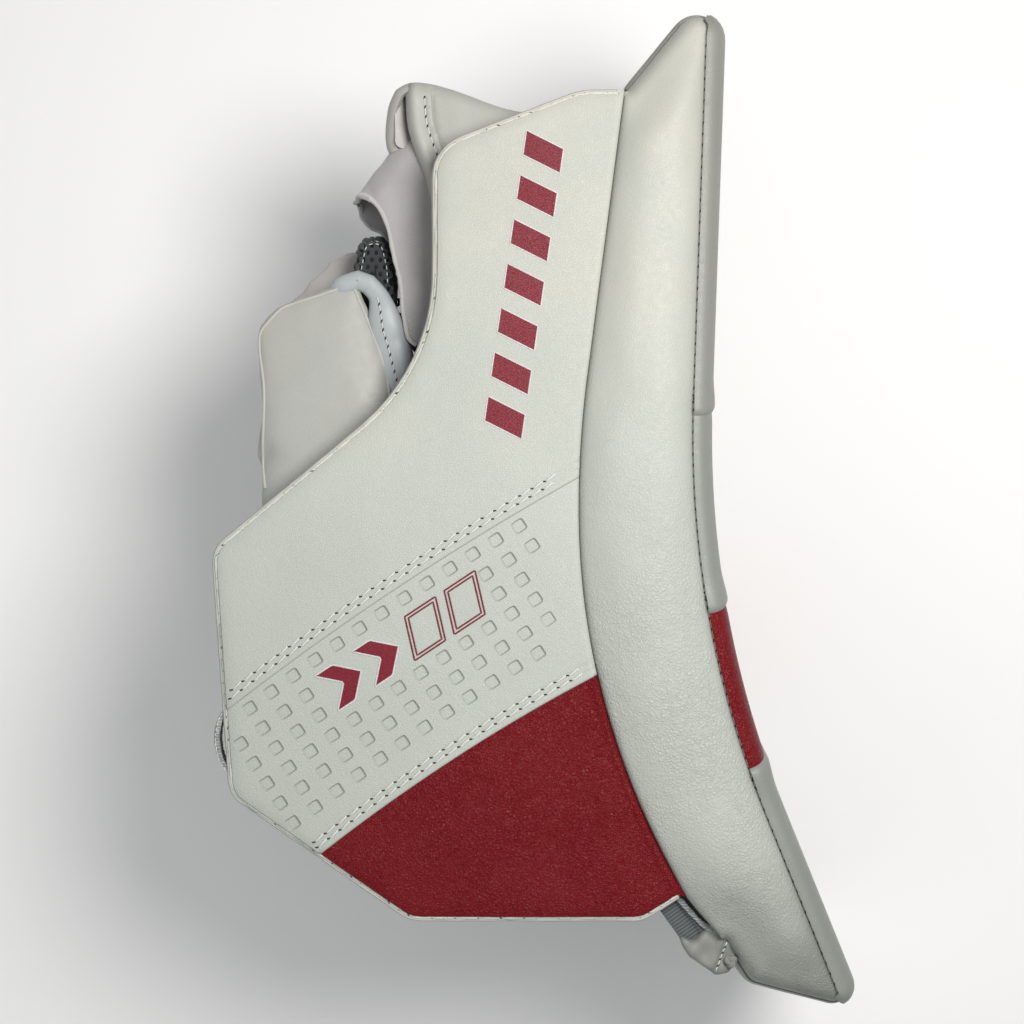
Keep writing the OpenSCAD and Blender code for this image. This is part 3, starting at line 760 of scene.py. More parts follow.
# Leathers: cool colour near the cuff, warm colour near the fingertips, and what else differs. The warmer, mostly
# lighter fingertip end is painted light, as warm light falls there.
LEATHERS = {
    "side": (shade(COOL, 0.9), shade(WARM, 0.9), dict(pore=0.85, grain=0.085, crease=0.06, rough=0.5)),
    # roll: its cuff end painted darker, painted shade.
    "roll": (shade(COOL, 0.82), shade(WARM, 0.82), dict(pore=0.8, grain=0.05, crease=0.17, rough=0.44, wear_and_shade=0.75)),
    # face: white leather painted at about half the sides' lightness, painted shade of a front face turned from the
    # light; its end walls and welts share it.
    "face": (shade(COOL, 0.47), shade(WARM, 0.45), dict(pore=0.9, grain=0.05, rough=0.42)),
    "soft": (shade(PALE, 0.92), shade(WARM, 0.78), dict(pore=0.7, grain=0.035, rough=0.48, dirt=0.35)),
    "lining": (PINKISH, PINKISH, dict(pore=0.7, grain=0.03, rough=0.6, dirt=0.15)),
    "piping": ((0.60, 0.61, 0.55), (0.64, 0.63, 0.54), dict(pore=0.6, grain=0.10, rough=0.5, dirt=1.0)),
    "binding": ((0.40, 0.41, 0.38), (0.44, 0.43, 0.38), dict(pore=0.7, grain=0.04, rough=0.55, dirt=0.8)),
    # tab: white-ish leather painted dark grey, painted shade that falls on the tab.
    "tab": ((0.21, 0.215, 0.195), (0.17, 0.165, 0.145), dict(pore=0.7, grain=0.06, rough=0.5)),
    "rim": ((0.335, 0.365, 0.375), (0.345, 0.37, 0.38), dict(pore=0.6, grain=0.02, rough=0.42, dirt=0.3)),
    "red": (RED, RED, dict(pore=1.0, grain=0.16, crease=0.26, rough=0.38, dirt=0.25, sink=0.6, shine=0.2)),
}
PAINT = {key: leather("leather_" + key, cool, warm, **more) for key, (cool, warm, more) in LEATHERS.items()}
PAINT |= {
    "print_red": printed("print_red", (0.17, 0.008, 0.020)),
    "print_white": printed("print_white", (0.56, 0.55, 0.54)),
    "thread": thread_paint("thread", (0.66, 0.68, 0.65)),
    # Near-black, painted shade for the needle holes.
    "hole": fuzzy("needle_hole", (0.035, 0.035, 0.03), 0.4),
    "nylon": woven("nylon", (0.045, 0.045, 0.05), 0.9),
    "nylon_flat": woven("nylon_lining", (0.30, 0.31, 0.32), 0.9, flat=(1, 1, 0)),
    "nylon_soft": woven("nylon_soft", (0.42, 0.43, 0.44), 0.8, flat=(0, 1, 1), depth=0.15),
    "webbing": woven("webbing", (0.42, 0.43, 0.43), 1.1, flat=(0, 1, 1), depth=0.3),
    "elastic": ribbed("elastic", (0.115, 0.13, 0.135), 1.25, math.radians(54)),
    "jersey": jersey_paint("jersey", (0.37, 0.36, 0.36), math.radians(-35)),
    "jersey_edge": jersey_paint("jersey_edge", (0.47, 0.455, 0.45), math.radians(20)),
    "mesh": fuzzy("spacer_mesh", (0.035, 0.042, 0.045), 0.35, depth=0.3),
    "backing": fuzzy("mesh_backing", (0.003, 0.004, 0.004), 0.5),
    "suede": fuzzy("suede", (0.38, 0.38, 0.37), 0.45, depth=0.2),
    "foam": fuzzy("foam", (0.66, 0.65, 0.56), 0.8, depth=0.2),
    "sheet": fuzzy("plastic_sheet", (0.66, 0.67, 0.67), 1.2, depth=0.05, rough=0.5),
    "hook": fuzzy("hook_and_loop", (0.03, 0.03, 0.035), 0.7, depth=0.6),
    "metal": metal("eyelet_metal", (0.72, 0.72, 0.74)),
    "knot": woven("knot_cord", (0.34, 0.34, 0.32), 0.6, flat=(1, 1, 0), depth=0.2),
    "cord": woven("lace_cord", (0.5, 0.5, 0.48), 0.8, flat=(1, 1, 0), depth=0.2),
}


# ---- Board: a roll along each long edge, the cover round the front, end caps and the back ------------------

FACE = (68.2, 28, 380)          # furthest back of the front face, its height there, and the bend's radius
LEAN = (2, 22)                  # how far the fingertip and cuff halves lean, in degrees
TIP_BACK, TIP_DIR = (37.2, 160.4), (0.63, 0.777)
CUFF_BACK, CUFF_LOW, CUFF_DIR = (75, -165), (85, -180.5), (0.968, -0.25)
TIP_RADIUS, CUFF_RADIUS = 8.7, 6.2
SEAM_IN = 5.7                   # the front seam, behind the face
SEAM_Z = 199.4
EDGE_Z = 190                    # where the rounded edge meets the face
ROLL_LOW = 187                  # underside of the roll
PINCH = 0.5                     # how deep a seam pulls the leather in
TUCK = 4                        # how far a panel runs on under its neighbour
ROWS = (2.9, 5.2)               # stitch rows, from a fold


def face_line(depth):
    """The front face from the fingertip end to the cuff end, so deep inside it."""
    centre, radius = np.array([FACE[0] + FACE[2], FACE[1]]), FACE[2] + depth
    bend = arc(centre, radius, 180 - LEAN[0], 180 + LEAN[1], 1)
    tip, cuff = np.radians(LEAN)
    first = meet(bend[0], (math.sin(tip), math.cos(tip)), TIP_BACK, TIP_DIR)
    last = meet(bend[-1], (math.sin(cuff), -math.cos(cuff)), CUFF_LOW, CUFF_DIR)
    return np.vstack([first, bend, last])


def back_corners():
    """The back of the board is the sides' own edge, read from the roll's outline in the CAD."""
    loop = caps("thumb_side_roll")[0]
    first, last = nearest(loop, CUFF_BACK), nearest(loop, TIP_BACK)
    loop = np.roll(loop, -last, axis=0)
    return loop[:(first - last) % len(loop) + 1][::-1]


def nearest(loop, point):
    return int(np.linalg.norm(loop - np.asarray(point, float), axis=1).argmin())


def board_outline():
    """Anticlockwise outline of the board, starting at its back corner at the cuff end."""
    face = face_line(0)
    back = back_corners()[1:]
    corners = [(*face[0], TIP_RADIUS), *face[1:-1], (*face[-1], CUFF_RADIUS), (*CUFF_LOW, 6), (*CUFF_BACK, 5), *back]
    loop = smoothed(rounded(corners)[::-1], 2.0, closed=True)
    return np.roll(loop, -nearest(loop, CUFF_BACK), axis=0)


OUTLINE = board_outline()
TIP_CORNER = nearest(OUTLINE, TIP_BACK)
RIM_LINE = OUTLINE[:TIP_CORNER + 1]
BACK = np.vstack([OUTLINE[TIP_CORNER:], OUTLINE[:1]])


def ahead(p, way):
    """The point of the rim straight ahead of p."""
    rel, way = RIM_LINE - p, unit(way)
    far = rel @ way
    return int((np.abs(cross2(way, rel)) + 100.0 * ((far < 0) | (far > 25))).argmin())


def seam_line():
    """The front seam from the cuff end to the fingertip end, and the outline's points that it runs out at."""
    line = smoothed(face_line(SEAM_IN)[::-1], 2.0)
    line = line[inside(line, OUTLINE)]
    first, last = ahead(line[0], line[0] - line[3]), ahead(line[-1], line[-1] - line[-4])
    return np.vstack([RIM_LINE[first], line[1:-1], RIM_LINE[last]]), first, last


SEAM, SEAM_FIRST, SEAM_LAST = seam_line()
CUFF_END, FRONT, TIP_END = RIM_LINE[:SEAM_FIRST + 1], RIM_LINE[SEAM_FIRST:SEAM_LAST + 1], RIM_LINE[SEAM_LAST:]


def roll_height(p, crown=5.0):
    """Height of the thumb-side roll: full between its seams, rounded at the ends, pinched at the front seam."""
    rim, back, seam = distance(p, RIM_LINE), distance(p, BACK), distance(p, SEAM)
    across = back / (back + seam + 1e-6)
    ends = np.minimum(distance(p, CUFF_END), distance(p, TIP_END))
    full = crown * (1 - np.abs(2 * across - 1) ** 2.4) * ease(ends / 24)
    soft = 0.35 * ripple(p, 55, 11) * ease(np.minimum(back, seam) / 10)
    dents = drop(rim, SEAM_IN, SEAM_Z - EDGE_Z) + drop(back, 2.6, 2.2) * (rim > 2.6)
    return SEAM_Z + full + soft - dents - PINCH * np.exp(-(seam / 1.5) ** 2)


def rolls():
    outline = np.vstack([SEAM, TIP_END[1:], BACK[1:-1], CUFF_END[:-1]])
    outline = outline[np.linalg.norm(outline - np.roll(outline, 1, 0), axis=1) > 0.2]
    for name, height, low, down in (("thumb_side_roll", roll_height, ROLL_LOW, False),
                                    ("little_side_roll", lambda p: TOP - roll_height(p, 2.6), TOP - ROLL_LOW, True)):
        each = put(plate(name + "_leather", outline, height, low, "roll", down=down), "board", name)


# The front cover is laid out by t, a place along FRONT (its points' own count), and c: 0 to 1 over the
# thumb-side edge, 1 to 2 across the face, 2 to 3 over the little-finger edge.
COUNT = np.arange(len(FRONT))
AWAY = -normal_of(FRONT)
STEP = travel(FRONT)[-1] / (len(FRONT) - 1)


def seam_depths():
    """How far behind each point of FRONT the seam is, straight in."""
    found = []
    for p, away in zip(FRONT, AWAY):
        a, d = SEAM[:-1] - p, np.diff(SEAM, axis=0)
        cross = cross2(d, -away)
        share = np.divide(cross2(-away, a), cross, out=np.full(len(a), 9.0), where=np.abs(cross) > 1e-9)
        far = np.divide(cross2(d, a), cross, out=np.full(len(a), 99.0), where=np.abs(cross) > 1e-9)
        hits = far[(share > -0.01) & (share < 1.01) & (far > -0.01)]
        found.append(min(hits.min(), SEAM_IN) if len(hits) else 0.0)
    return np.array(found)


SEAM_DEPTH = seam_depths()
BULGE = 1.0                     # of the face, in the middle


def front_point(t, c, lift=0.0):
    """A point of the front cover, raised by lift, and its normal."""
    t, c, lift = np.broadcast_arrays(np.asarray(t, float), c, lift)
    base = np.stack([np.interp(t, COUNT, FRONT[:, k]) for k in (0, 1)], -1)
    away = unit(np.stack([np.interp(t, COUNT, AWAY[:, k]) for k in (0, 1)], -1))
    reach = np.arccos(1 - np.interp(t, COUNT, SEAM_DEPTH) / SEAM_IN)
    across = np.clip(c - 1, 0, 1)
    turn = reach * np.clip(np.where(c < 1.5, 1 - c, c - 2), 0, 1)
    depth = SEAM_IN * (1 - np.cos(turn))
    height = EDGE_Z + (SEAM_Z - EDGE_Z) * np.sin(turn)
    height = height - PINCH * np.exp(-((SEAM_IN * (1 - np.cos(reach)) - depth) / 1.5) ** 2)
    z = np.where(c <= 1, height, np.where(c >= 2, TOP - height, EDGE_Z + (TOP - 2 * EDGE_Z) * across))
    bulge = BULGE * np.sin(math.pi * across)
    normal = np.concatenate([away * np.cos(turn)[..., None],
                             (np.sin(turn) * np.where(c < 1.5, 1, -1))[..., None]], -1)
    flat = base + away * (bulge - depth)[..., None]
    return np.concatenate([flat, z[..., None]], -1) + normal * lift[..., None], normal


ACROSS = np.concatenate([np.linspace(0, 1, 10), 1 + np.linspace(0, 1, 40)[1:], 2 + np.linspace(0, 1, 8)[1:]])
CHEVRON = 30                    # how far a seam across the face runs up in the middle
FACE_SEAMS = (36, -38, -99)     # heights of the seams at the long edges


def seam_place(height):
    """Where along FRONT the chevron seam runs, for each column across."""
    z = front_point(len(FRONT) / 2, ACROSS)[0][:, 2]
    y = height + CHEVRON * (1 - np.abs(2 * z / TOP - 1))
    low, high = FRONT[:, 1].argmin(), FRONT[:, 1].argmax()
    return np.interp(y, FRONT[low:high + 1, 1], COUNT[low:high + 1])


FOLD_ROWS = np.array([0, 0.15, 0.4, 0.8, 1.4, 2.2, 3.2, 4.5, 6.0, 8.0, 10.5])


def face_panel(name, low, high, fold, paint, tuck_low=0.0, tuck_high=0.0):
    """A panel of the front cover between two places along FRONT. fold is 'low' or 'high', the end that lies on
    the next panel; tucks run under a neighbour."""
    low, high = low - tuck_low / STEP, high + tuck_high / STEP
    length = (high - low).mean() * STEP
    near = FOLD_ROWS[FOLD_ROWS < length / 2]
    run = np.concatenate([near, np.linspace(near[-1], length, max(3, int((length - near[-1]) / 4)))[1:]])
    if fold == "high":
        run = (length - run)[::-1]
    share = (run / length)[:, None]
    t = low + (high - low) * share
    from_fold = run if fold == "low" else length - run
    lift = 0.9 * (1 - ease(from_fold / 11)) - drop(from_fold, 0.9, 0.5) if fold else 0 * run
    for tuck, inward in ((tuck_high, length - run), (tuck_low, run)):
        if tuck:
            lift = lift - 0.7 * (1 - ease(inward / 9))
    rows, _ = front_point(t, ACROSS[None], lift[:, None])
    put(shell(name + "_leather", rows, 2.2, paint, flip=True), "board", name)


def fold_stitches(name, place, way):
    """Two rows of stitches beside a fold that runs across the front cover."""
    for row, far in enumerate(ROWS):
        path, normal = front_point(place + way * far / STEP, ACROSS, 0.9 * (1 - ease(far / 11)) + 0.05)
        stitches(f"{name}_stitches_{row}", path, normal, "board")


def wall(name, line, low, high, bulge, paint, *nodes, tuck=1.2, thick=2.0):
    """A padded upright cover of the board that follows a flat line, bulging to the line's right."""
    away = -normal_of(line)
    w = np.concatenate([[0, 0.006, 0.015, 0.03], np.linspace(0.05, 0.95, 34), [0.97, 0.985, 0.994, 1]])
    shape = bulge * (1 - np.abs(2 * w - 1) ** 4) - tuck * np.abs(2 * w - 1) ** 40
    flat = np.broadcast_to(line[:, None], (len(line), len(w), 2))
    z = np.broadcast_to(low + (high - low) * w, flat.shape[:2])
    rows = np.concatenate([flat, z[..., None]], -1)
    soft = 0.3 * ripple(rows, 30, len(name)) * (1 - np.abs(2 * w - 1) ** 6)
    rows = rows + np.concatenate([away, 0 * away[:, :1]], 1)[:, None] * (shape + soft)[..., None]
    put(shell(name, rows, thick, paint), "board", *nodes)


def board():
    rolls()
    first, last = COUNT[0] + 0 * ACROSS, COUNT[-1] + 0 * ACROSS
    upper, middle, lower = (seam_place(y) for y in FACE_SEAMS)
    face_panel("face_panel_tip", upper, last, "low", "face")
    face_panel("face_panel_middle", middle, upper, "low", "face", tuck_high=TUCK)
    face_panel("face_panel_red", lower, middle, None, "red", tuck_low=TUCK, tuck_high=TUCK)
    face_panel("face_panel_cuff", first, lower, "high", "face")
    for name, place, way in (("tip_fold", upper, 1), ("middle_fold", middle, 1), ("cuff_fold", lower, -1)):
        fold_stitches(name, place, way)
    run = even(SEAM, 1.2)
    for name, level, way in (("front_seam_welt", 0, 1), ("little_front_seam_welt", TOP, -1)):
        path = lifted(run, level + way * (roll_height(run) - 0.5))
        tube(name, path, circle(0.75, 8), "face", "board")
    path, up = laid(even(SEAM[2:-2], 1.5), roll_height, 0.35)
    for name, level, flip in (("front_seam", 0, [1, 1, 1]), ("little_front_seam", TOP, [1, 1, -1])):
        stitches(name + "_stitches", path * flip + [0, 0, level], up * flip, "board", pitch=4.2, length=3.6,
                 thick=0.24)
    for name, line, bulge in (("tip_end", TIP_END, 0.9), ("cuff_end", CUFF_END, 1.6)):
        wall(name + "_leather", line, TOP - EDGE_Z - 0.5, EDGE_Z + 0.5, bulge, "face", name + "_cap")
    wall("back_cover_nylon", BACK, 4, 192, 0.0, "nylon", "back_cover", tuck=0.8)
    for name, line in (("tip_end", TIP_END), ("cuff_end", CUFF_END)):
        away = -normal_of(line)
        for z, side in ((EDGE_Z - 4.5, "thumb"), (TOP - EDGE_Z + 4.5, "little")):
            stitches(f"{name}_{side}_stitches", lifted(line + away * 1.3, z), lifted(away, 0), "board")


board()


# ---- Side board: three leather panels over foam and sheet, with prints, embossing and a bound edge ----------

FOLD_A = np.array([(-113.4, -75.2), (19.4, 12.5)])      # where the upper panel ends on the embossed one
FOLD_B = np.array([(-80, -131.5), (27.1, -62.1)])       # where the embossed panel ends on the red one
FOLD_BOW = 3
SIDE_Z, SIDE_LOW = 199.6, 185.6  # face and lining
BIND = 2.5                      # how far the binding reaches over the panels
LOOP = smoothed(caps("side_binding")[0], 2.0, closed=True)
LOOP = np.roll(LOOP, -int(np.flatnonzero((distance(LOOP, BACK) > 1)
                                         & (np.roll(distance(LOOP, BACK), 1) <= 1))[0]), axis=0)
IS_FREE = distance(LOOP, BACK) > 1
FREE = LOOP[IS_FREE]
INNER = beside(LOOP, np.where(IS_FREE, BIND, -0.25), closed=True)
# The badge's middle and half its size; the embossed squares' size, spacing and first place
BADGE_AT, BADGE_ZONE = np.array([-47, -50]), (39, 9.5)
SQUARE, LATTICE, LATTICE_START = (5.4, 5.0), (10.3, 9.0), (5.9, -4.6)
LEAST_FADE = 0.7                # squares near the roll fade, and fainter ones than this are left out


def bow(share):
    return 4 * FOLD_BOW * share * (1 - share)


def fold_level(p, fold):
    """How far above a fold a point is; folds bow up a little in the middle."""
    way, length = unit(fold[1] - fold[0]), np.linalg.norm(fold[1] - fold[0])
    share = np.clip((p - fold[0]) @ way / length, 0, 1)
    return (p - fold[0]) @ left_of(way) - bow(share)


def fold_path(fold, level=0.0):
    way, length = unit(fold[1] - fold[0]), np.linalg.norm(fold[1] - fold[0])
    share = np.linspace(-0.15, 1.15, 90)
    path = fold[0] + share[:, None] * way * length + (level + bow(np.clip(share, 0, 1)))[:, None] * left_of(way)
    return path[inside(path, INNER)]


def cut(loop, fold, level, above):
    """The part of an outline above or below a fold that is moved up by level."""
    side = (fold_level(loop, fold) - level) * (1 if above else -1)
    start = int(np.flatnonzero((side > 0) & (np.roll(side, 1) <= 0))[0])
    loop, side = np.roll(loop, -start, 0), np.roll(side, -start)
    last = int(np.flatnonzero(side <= 0)[0])
    enter = loop[-1] + (loop[0] - loop[-1]) * side[-1] / (side[-1] - side[0])
    leave = loop[last - 1] + (loop[last] - loop[last - 1]) * side[last - 1] / (side[last - 1] - side[last])
    path = fold_path(fold, level)
    path = path[(np.linalg.norm(path - enter, axis=1) > 0.7) & (np.linalg.norm(path - leave, axis=1) > 0.7)]
    if np.linalg.norm(path[0] - leave) > np.linalg.norm(path[-1] - leave):
        path = path[::-1]
    made = np.vstack([enter, loop[:last], leave, path])
    return made[np.linalg.norm(made - np.roll(made, 1, 0), axis=1) > 0.15]


def folded(level, tucked):
    """How a panel rises beside its own fold, or sinks where it runs under the neighbour's."""
    if tucked:
        return -0.45 * (1 - ease(-level / 8))
    rows = sum(0.35 * np.exp(-((level - row) / 0.7) ** 2) for row in ROWS)
    return 0.6 * (1 - ease(level / 12)) - drop(level, 0.7, 0.8) - rows


def side_base(p):
    free, seam = distance(p, FREE), distance(p, BACK)
    return (SIDE_Z - drop(free, 7, 2.6) - drop(seam, 2.4, 1.6) + 0.7 * (1 - np.exp(-free / 14))
            + 0.25 * ripple(p, 60, 3))


def upper_height(p):
    return side_base(p) + folded(fold_level(p, FOLD_A), False)


def embossed_height(p):
    return side_base(p) + folded(fold_level(p, FOLD_A), True) + folded(fold_level(p, FOLD_B), False)


def red_height(p):
    seam = distance(p, BACK)
    ridge = 0.5 * np.exp(-((seam - 1.6) / 1.1) ** 2) - 0.45 * np.exp(-((seam - 4.2) / 0.9) ** 2)
    return side_base(p) + folded(fold_level(p, FOLD_B), True) + ridge


def squares():
    """Pressed squares in rows beside the upper fold, shallower near the roll and left out round the badge."""
    way = unit(FOLD_A[1] - FOLD_A[0])
    shape = ring_section(2, 2, 20, 0.4)
    panel = cut(cut(INNER, FOLD_A, 0, False), FOLD_B, ROWS[1] + 0.3, True)
    dents = []
    for row in range(12):
        for column in range(-2, 18):
            along = LATTICE_START[0] + column * LATTICE[0]
            share = np.clip(along / np.linalg.norm(FOLD_A[1] - FOLD_A[0]), 0, 1)
            above = LATTICE_START[1] - row * LATTICE[1] + bow(share)
            centre = FOLD_A[0] + along * way + above * left_of(way)
            offset = centre - BADGE_AT
            near_badge = abs(offset @ way) < BADGE_ZONE[0] and abs(offset @ left_of(way)) < BADGE_ZONE[1]
            here = centre[None]
            if near_badge or not inside(here, panel)[0] or distance(here, panel, True)[0] < 3.6:
                continue
            fade = float(ease((distance(here, BACK)[0] - 4) / 16))
            if fade < LEAST_FADE:
                continue
            for size, depth in ((1.0, 0.0), (0.76, 1.25 * fade)):
                loop = shape * (np.array(SQUARE) / 2 * size)
                dents.append((centre + loop[:, :1] * way + loop[:, 1:] * left_of(way), depth))
    return dents


def merged(name, parts, body, *nodes):
    """One piece made of several meshes that share their paints."""
    joined = bmesh.new()
    for part in parts:
        joined.from_mesh(part.data)
    data = parts[0].data.copy()
    data.name = name
    joined.to_mesh(data)
    joined.free()
    made = linked(name, data)
    for part in parts:
        bpy.data.objects.remove(part)
    return put(made, body, *nodes)


def stamped(loops, height, grow, lift, paint):
    """Thin printed shapes that follow a leather surface."""
    made = []
    for loop in loops:
        outline = beside(even_loop(loop, 1.2), -grow, closed=True)
        made.append(plate("part", outline, lambda p: height(p) + lift, SIDE_Z - 1.2, paint, rim=(), step=2.4))
    return made


def side_board():
    upper = cut(INNER, FOLD_A, 0, True)
    embossed = cut(cut(INNER, FOLD_A, TUCK, False), FOLD_B, 0, True)
    red = cut(INNER, FOLD_B, TUCK, False)

    def row_lines(fold):
        return [(fold_path(fold, row), 0.9) for row in ROWS]

    for name, outline, height, paint, lines, dents in (
            ("side_panel_upper", upper, upper_height, "side", row_lines(FOLD_A), ()),
            ("side_panel_embossed", embossed, embossed_height, "side", row_lines(FOLD_B), squares()),
            ("side_panel_red", red, red_height, "red", (), ())):
        put(plate(name + "_leather", outline, height, SIDE_Z - 5, paint, lines=lines, dents=dents), "flex", name)
    for name, fold, height in (("upper_fold", FOLD_A, upper_height), ("embossed_fold", FOLD_B, embossed_height)):
        for number, row in enumerate(ROWS):
            line = fold_path(fold, row)
            line = line[distance(line, LOOP, True) > 3.2]
            path, up = laid(even(line, 1.5), height, 0.1)
            stitches(f"{name}_stitches_{number}", path, up, "flex", slant=0.8)
    put(plate("side_core", INNER, lambda p: 0 * p[:, 0] + SIDE_Z - 4.2, SIDE_LOW + 1.2, "foam", rim=(), step=8),
        "flex", "side_inner_foam", "side_sheet", "side_outer_foam")
    put(plate("side_lining_fabric", INNER, lambda p: SIDE_LOW + drop(distance(p, FREE), 4, 1.0)
              + 0.2 * ripple(p, 24, 9), SIDE_LOW + 1.6, "nylon_flat", down=True), "flex", "side_lining")
    edge = even(beside(LOOP, 1.3, True)[IS_FREE], 1.6)
    soft = lifted(edge, SIDE_LOW + 6.2 + 0.2 * ripple(edge, 14, 5))
    tube("side_binding_leather", soft, ring_section(2.6, 11.6, 18, 0.5, 0.7), "binding", "flex", "side_binding",
         scale=1 + 0.03 * ripple(edge, 9, 6))
    line = even(beside(LOOP, 2.1, True)[IS_FREE], 1.2)
    bead = lifted(line, SIDE_Z - 2.2 + 0.12 * ripple(line, 11, 8))
    tube("side_edge_bead", bead, circle(0.85), "piping", "flex", scale=1 + 0.1 * ripple(line, 5, 4))
    stitches("side_edge_stitches", bead + [0, 0, 0.7], UP, "flex", pitch=4.4, length=2.2, thick=0.16)


def prints():
    bars = [loop for loop in caps("side_stripes") if area(loop) > 0]
    loops = caps("side_badge")
    holes = [loop for loop in loops if area(loop) < 0]
    outer = [(loop, any(inside(hole[:1], loop)[0] for hole in holes)) for loop in loops if area(loop) > 0]
    solid, frames = ([loop for loop, framed in outer if framed == wanted] for wanted in (False, True))
    for name, shapes, height, grow, lift, paint, *nodes in (
            ("side_bars_print", bars, upper_height, -0.25, 0.34, "print_red", "side_stripes"),
            ("side_bars_edge", bars, upper_height, 0.25, 0.24, "print_white"),
            ("badge_print", solid, embossed_height, -0.3, 0.45, "print_red", "side_badge"),
            ("badge_field", solid, embossed_height, 0.35, 0.3, "print_white")):
        merged(name, stamped(shapes, height, grow, lift, paint), "flex", *nodes)
    beads = [sweep("part", laid(even_loop(loop, 0.8), embossed_height, 0.25)[0], circle(0.3, 6, 0.6), "print_red",
                   closed=True) for loop in frames + holes]
    merged("badge_lines", beads, "flex")


side_board()
prints()


# ---- Loop on the free edge, and the elastic with its tab and knot at the cuff -------------------------------

def edge_loop():
    line = np.array([(-111, -73.5), (-114.5, -75), (-117.6, -80), (-118.9, -87), (-117.8, -94.4), (-114.8, -99.6),
                     (-111, -101)])
    parts = []
    for k, (z, push) in enumerate(((189.4, 0.0), (192.4, 0.9), (195.4, 0.1))):
        path = even(smoothed(line, 1.0), 1.0)
        path = path + np.array([-push, 0]) * np.sin(np.linspace(0, math.pi, len(path)))[:, None]
        path = lifted(path, z + 0.5 * ripple(path, 9, k))
        parts.append(sweep("part", path, ring_section(1.7, 2.9), "webbing",
                           scale=1 + 0.08 * ripple(path, 4, k + 5)))
    merged("edge_loop_cords", parts, "side_board", "edge_loop")
    run = even(smoothed(line[1:-1] + [-0.7, 0], 1.0), 1.0)
    zigzag = lifted(run, 196.9 + 0.5 * (-1.0) ** np.arange(len(run)))
    tube("edge_loop_thread", zigzag, circle(0.22, 6), "thread", "side_board")


def elastic():
    # Ribbed elastic from under the side board's corner to the tab, in two layers
    start, way, length = np.array([55.0, -150.7]), unit([0.586, -0.81]), 18.0
    for name, shift, width, z in (("cuff_elastic_band", 0.0, 11.5, 190.6), ("cuff_elastic_fold", 3.6, 4.0, 191.9)):
        s, w = np.linspace(0, length, 60), np.linspace(-0.5, 0.5, 14)
        flat = start + s[:, None, None] * way + (w * width + shift)[None, :, None] * left_of(way)
        rib = 0.16 * np.sin(s[:, None] * 2 * math.pi / 1.25 + 2.5 * w[None])
        rows = np.dstack([flat, z - 0.05 * s[:, None] + rib - 1.0 * (2 * np.abs(w)[None]) ** 4])
        nodes = ("cuff_elastic",) if shift == 0 else ()
        put(shell(name, rows, 1.1, "elastic", flip=True), "board", *nodes)
    silver = even(smoothed([(57.2, -148.6), (60.9, -152.9), (66.9, -159.0), (73.4, -162.6)], 1.0), 0.8)
    path = lifted(silver, 192.6 + 0.2 * ripple(silver, 2.5, 3))
    tube("cuff_silver_edge", path, circle(1.1, 10, 0.8), "webbing", "board", slot="elastic",
         scale=1 + 0.12 * ripple(path, 2, 9))
    # The tab is a folded leather strip with a raised, stitched end
    outline = smoothed(rounded([(57.0, -163.0, 1), (59.0, -167.6, 0), (61.5, -171.6, 3), (66.6, -175.0, 0),
                                (71.5, -178.4, 2), (77, -177.5, 3), (80.5, -168, 3), (79, -160.5, 2), (70, -156.8, 2),
                                (67.2, -161, 2), (63, -165.8, 3)]), 0.9, closed=True)
    fold = np.array([(75.6, -161.8), (70.3, -176.2)])

    def height(p):
        side = (p - fold[0]) @ left_of(unit(fold[1] - fold[0]))
        near = distance(p, outline, True)
        return (193.4 - drop(near, 1.8, 2.2) + 1.3 * ease((side + 0.2) / 0.8) - 0.8 * ease((side - 3) / 2)
                + 0.35 * ripple(p, 7, 2))
    put(plate("anchor_tab_leather", outline, height, 189.2, "tab", step=1.1, rim=RIM[:4],
              lines=[(fold, 0.8)]), "board", "anchor_tab")
    path, up = laid(even(beside(fold, 1.1), 1.0), height, 0.1)
    stitches("anchor_tab_stitches", path, up, "board", pitch=2.6, length=1.9, thick=0.25)
    # The knot is a cord wound over itself
    t = full_turn(90)
    knot = np.stack([np.sin(t) + 2 * np.sin(2 * t), np.cos(t) - 2 * np.cos(2 * t), -np.sin(3 * t)], 1)
    knot = np.array([77.0, -172.3, 196.0]) + knot * 0.55
    tube("tab_knot_cord", knot, circle(1.05, 10), "knot", "board", "tab_knot", up=(0.3, 0.2, 1), closed=True)


edge_loop()
elastic()


# ---- Padded pieces: the CAD node's shape, remeshed and swollen by a cloth simulation ------------------------

RECORD = frame["record"]
BODY = {node: body for body, nodes in RECORD["behaviour"]["bodies"].items() for node in nodes}
SWELL_FRAMES, PRESSURE, FILL = 20, 4.0, 0.6


def settle(obj):
    """Applies an object's modifiers."""
    graph = bpy.context.evaluated_depsgraph_get()
    obj.data = bpy.data.meshes.new_from_object(obj.evaluated_get(graph))
    obj.modifiers.clear()


def points_of(data, kind="co"):
    found = np.empty(len(data.vertices) * 3)
    data.vertices.foreach_get(kind, found)
    return found.reshape(-1, 3)


def place_points(obj, points):
    obj.data.vertices.foreach_set("co", points.ravel())
    obj.data.update()


def repaint(data, paint):
    data.materials.clear()
    data.materials.append(PAINT[paint])


def copied(name, node, paint):
    made = linked(name, frame["nodes"][node].data.copy())
    repaint(made.data, paint)
    return made


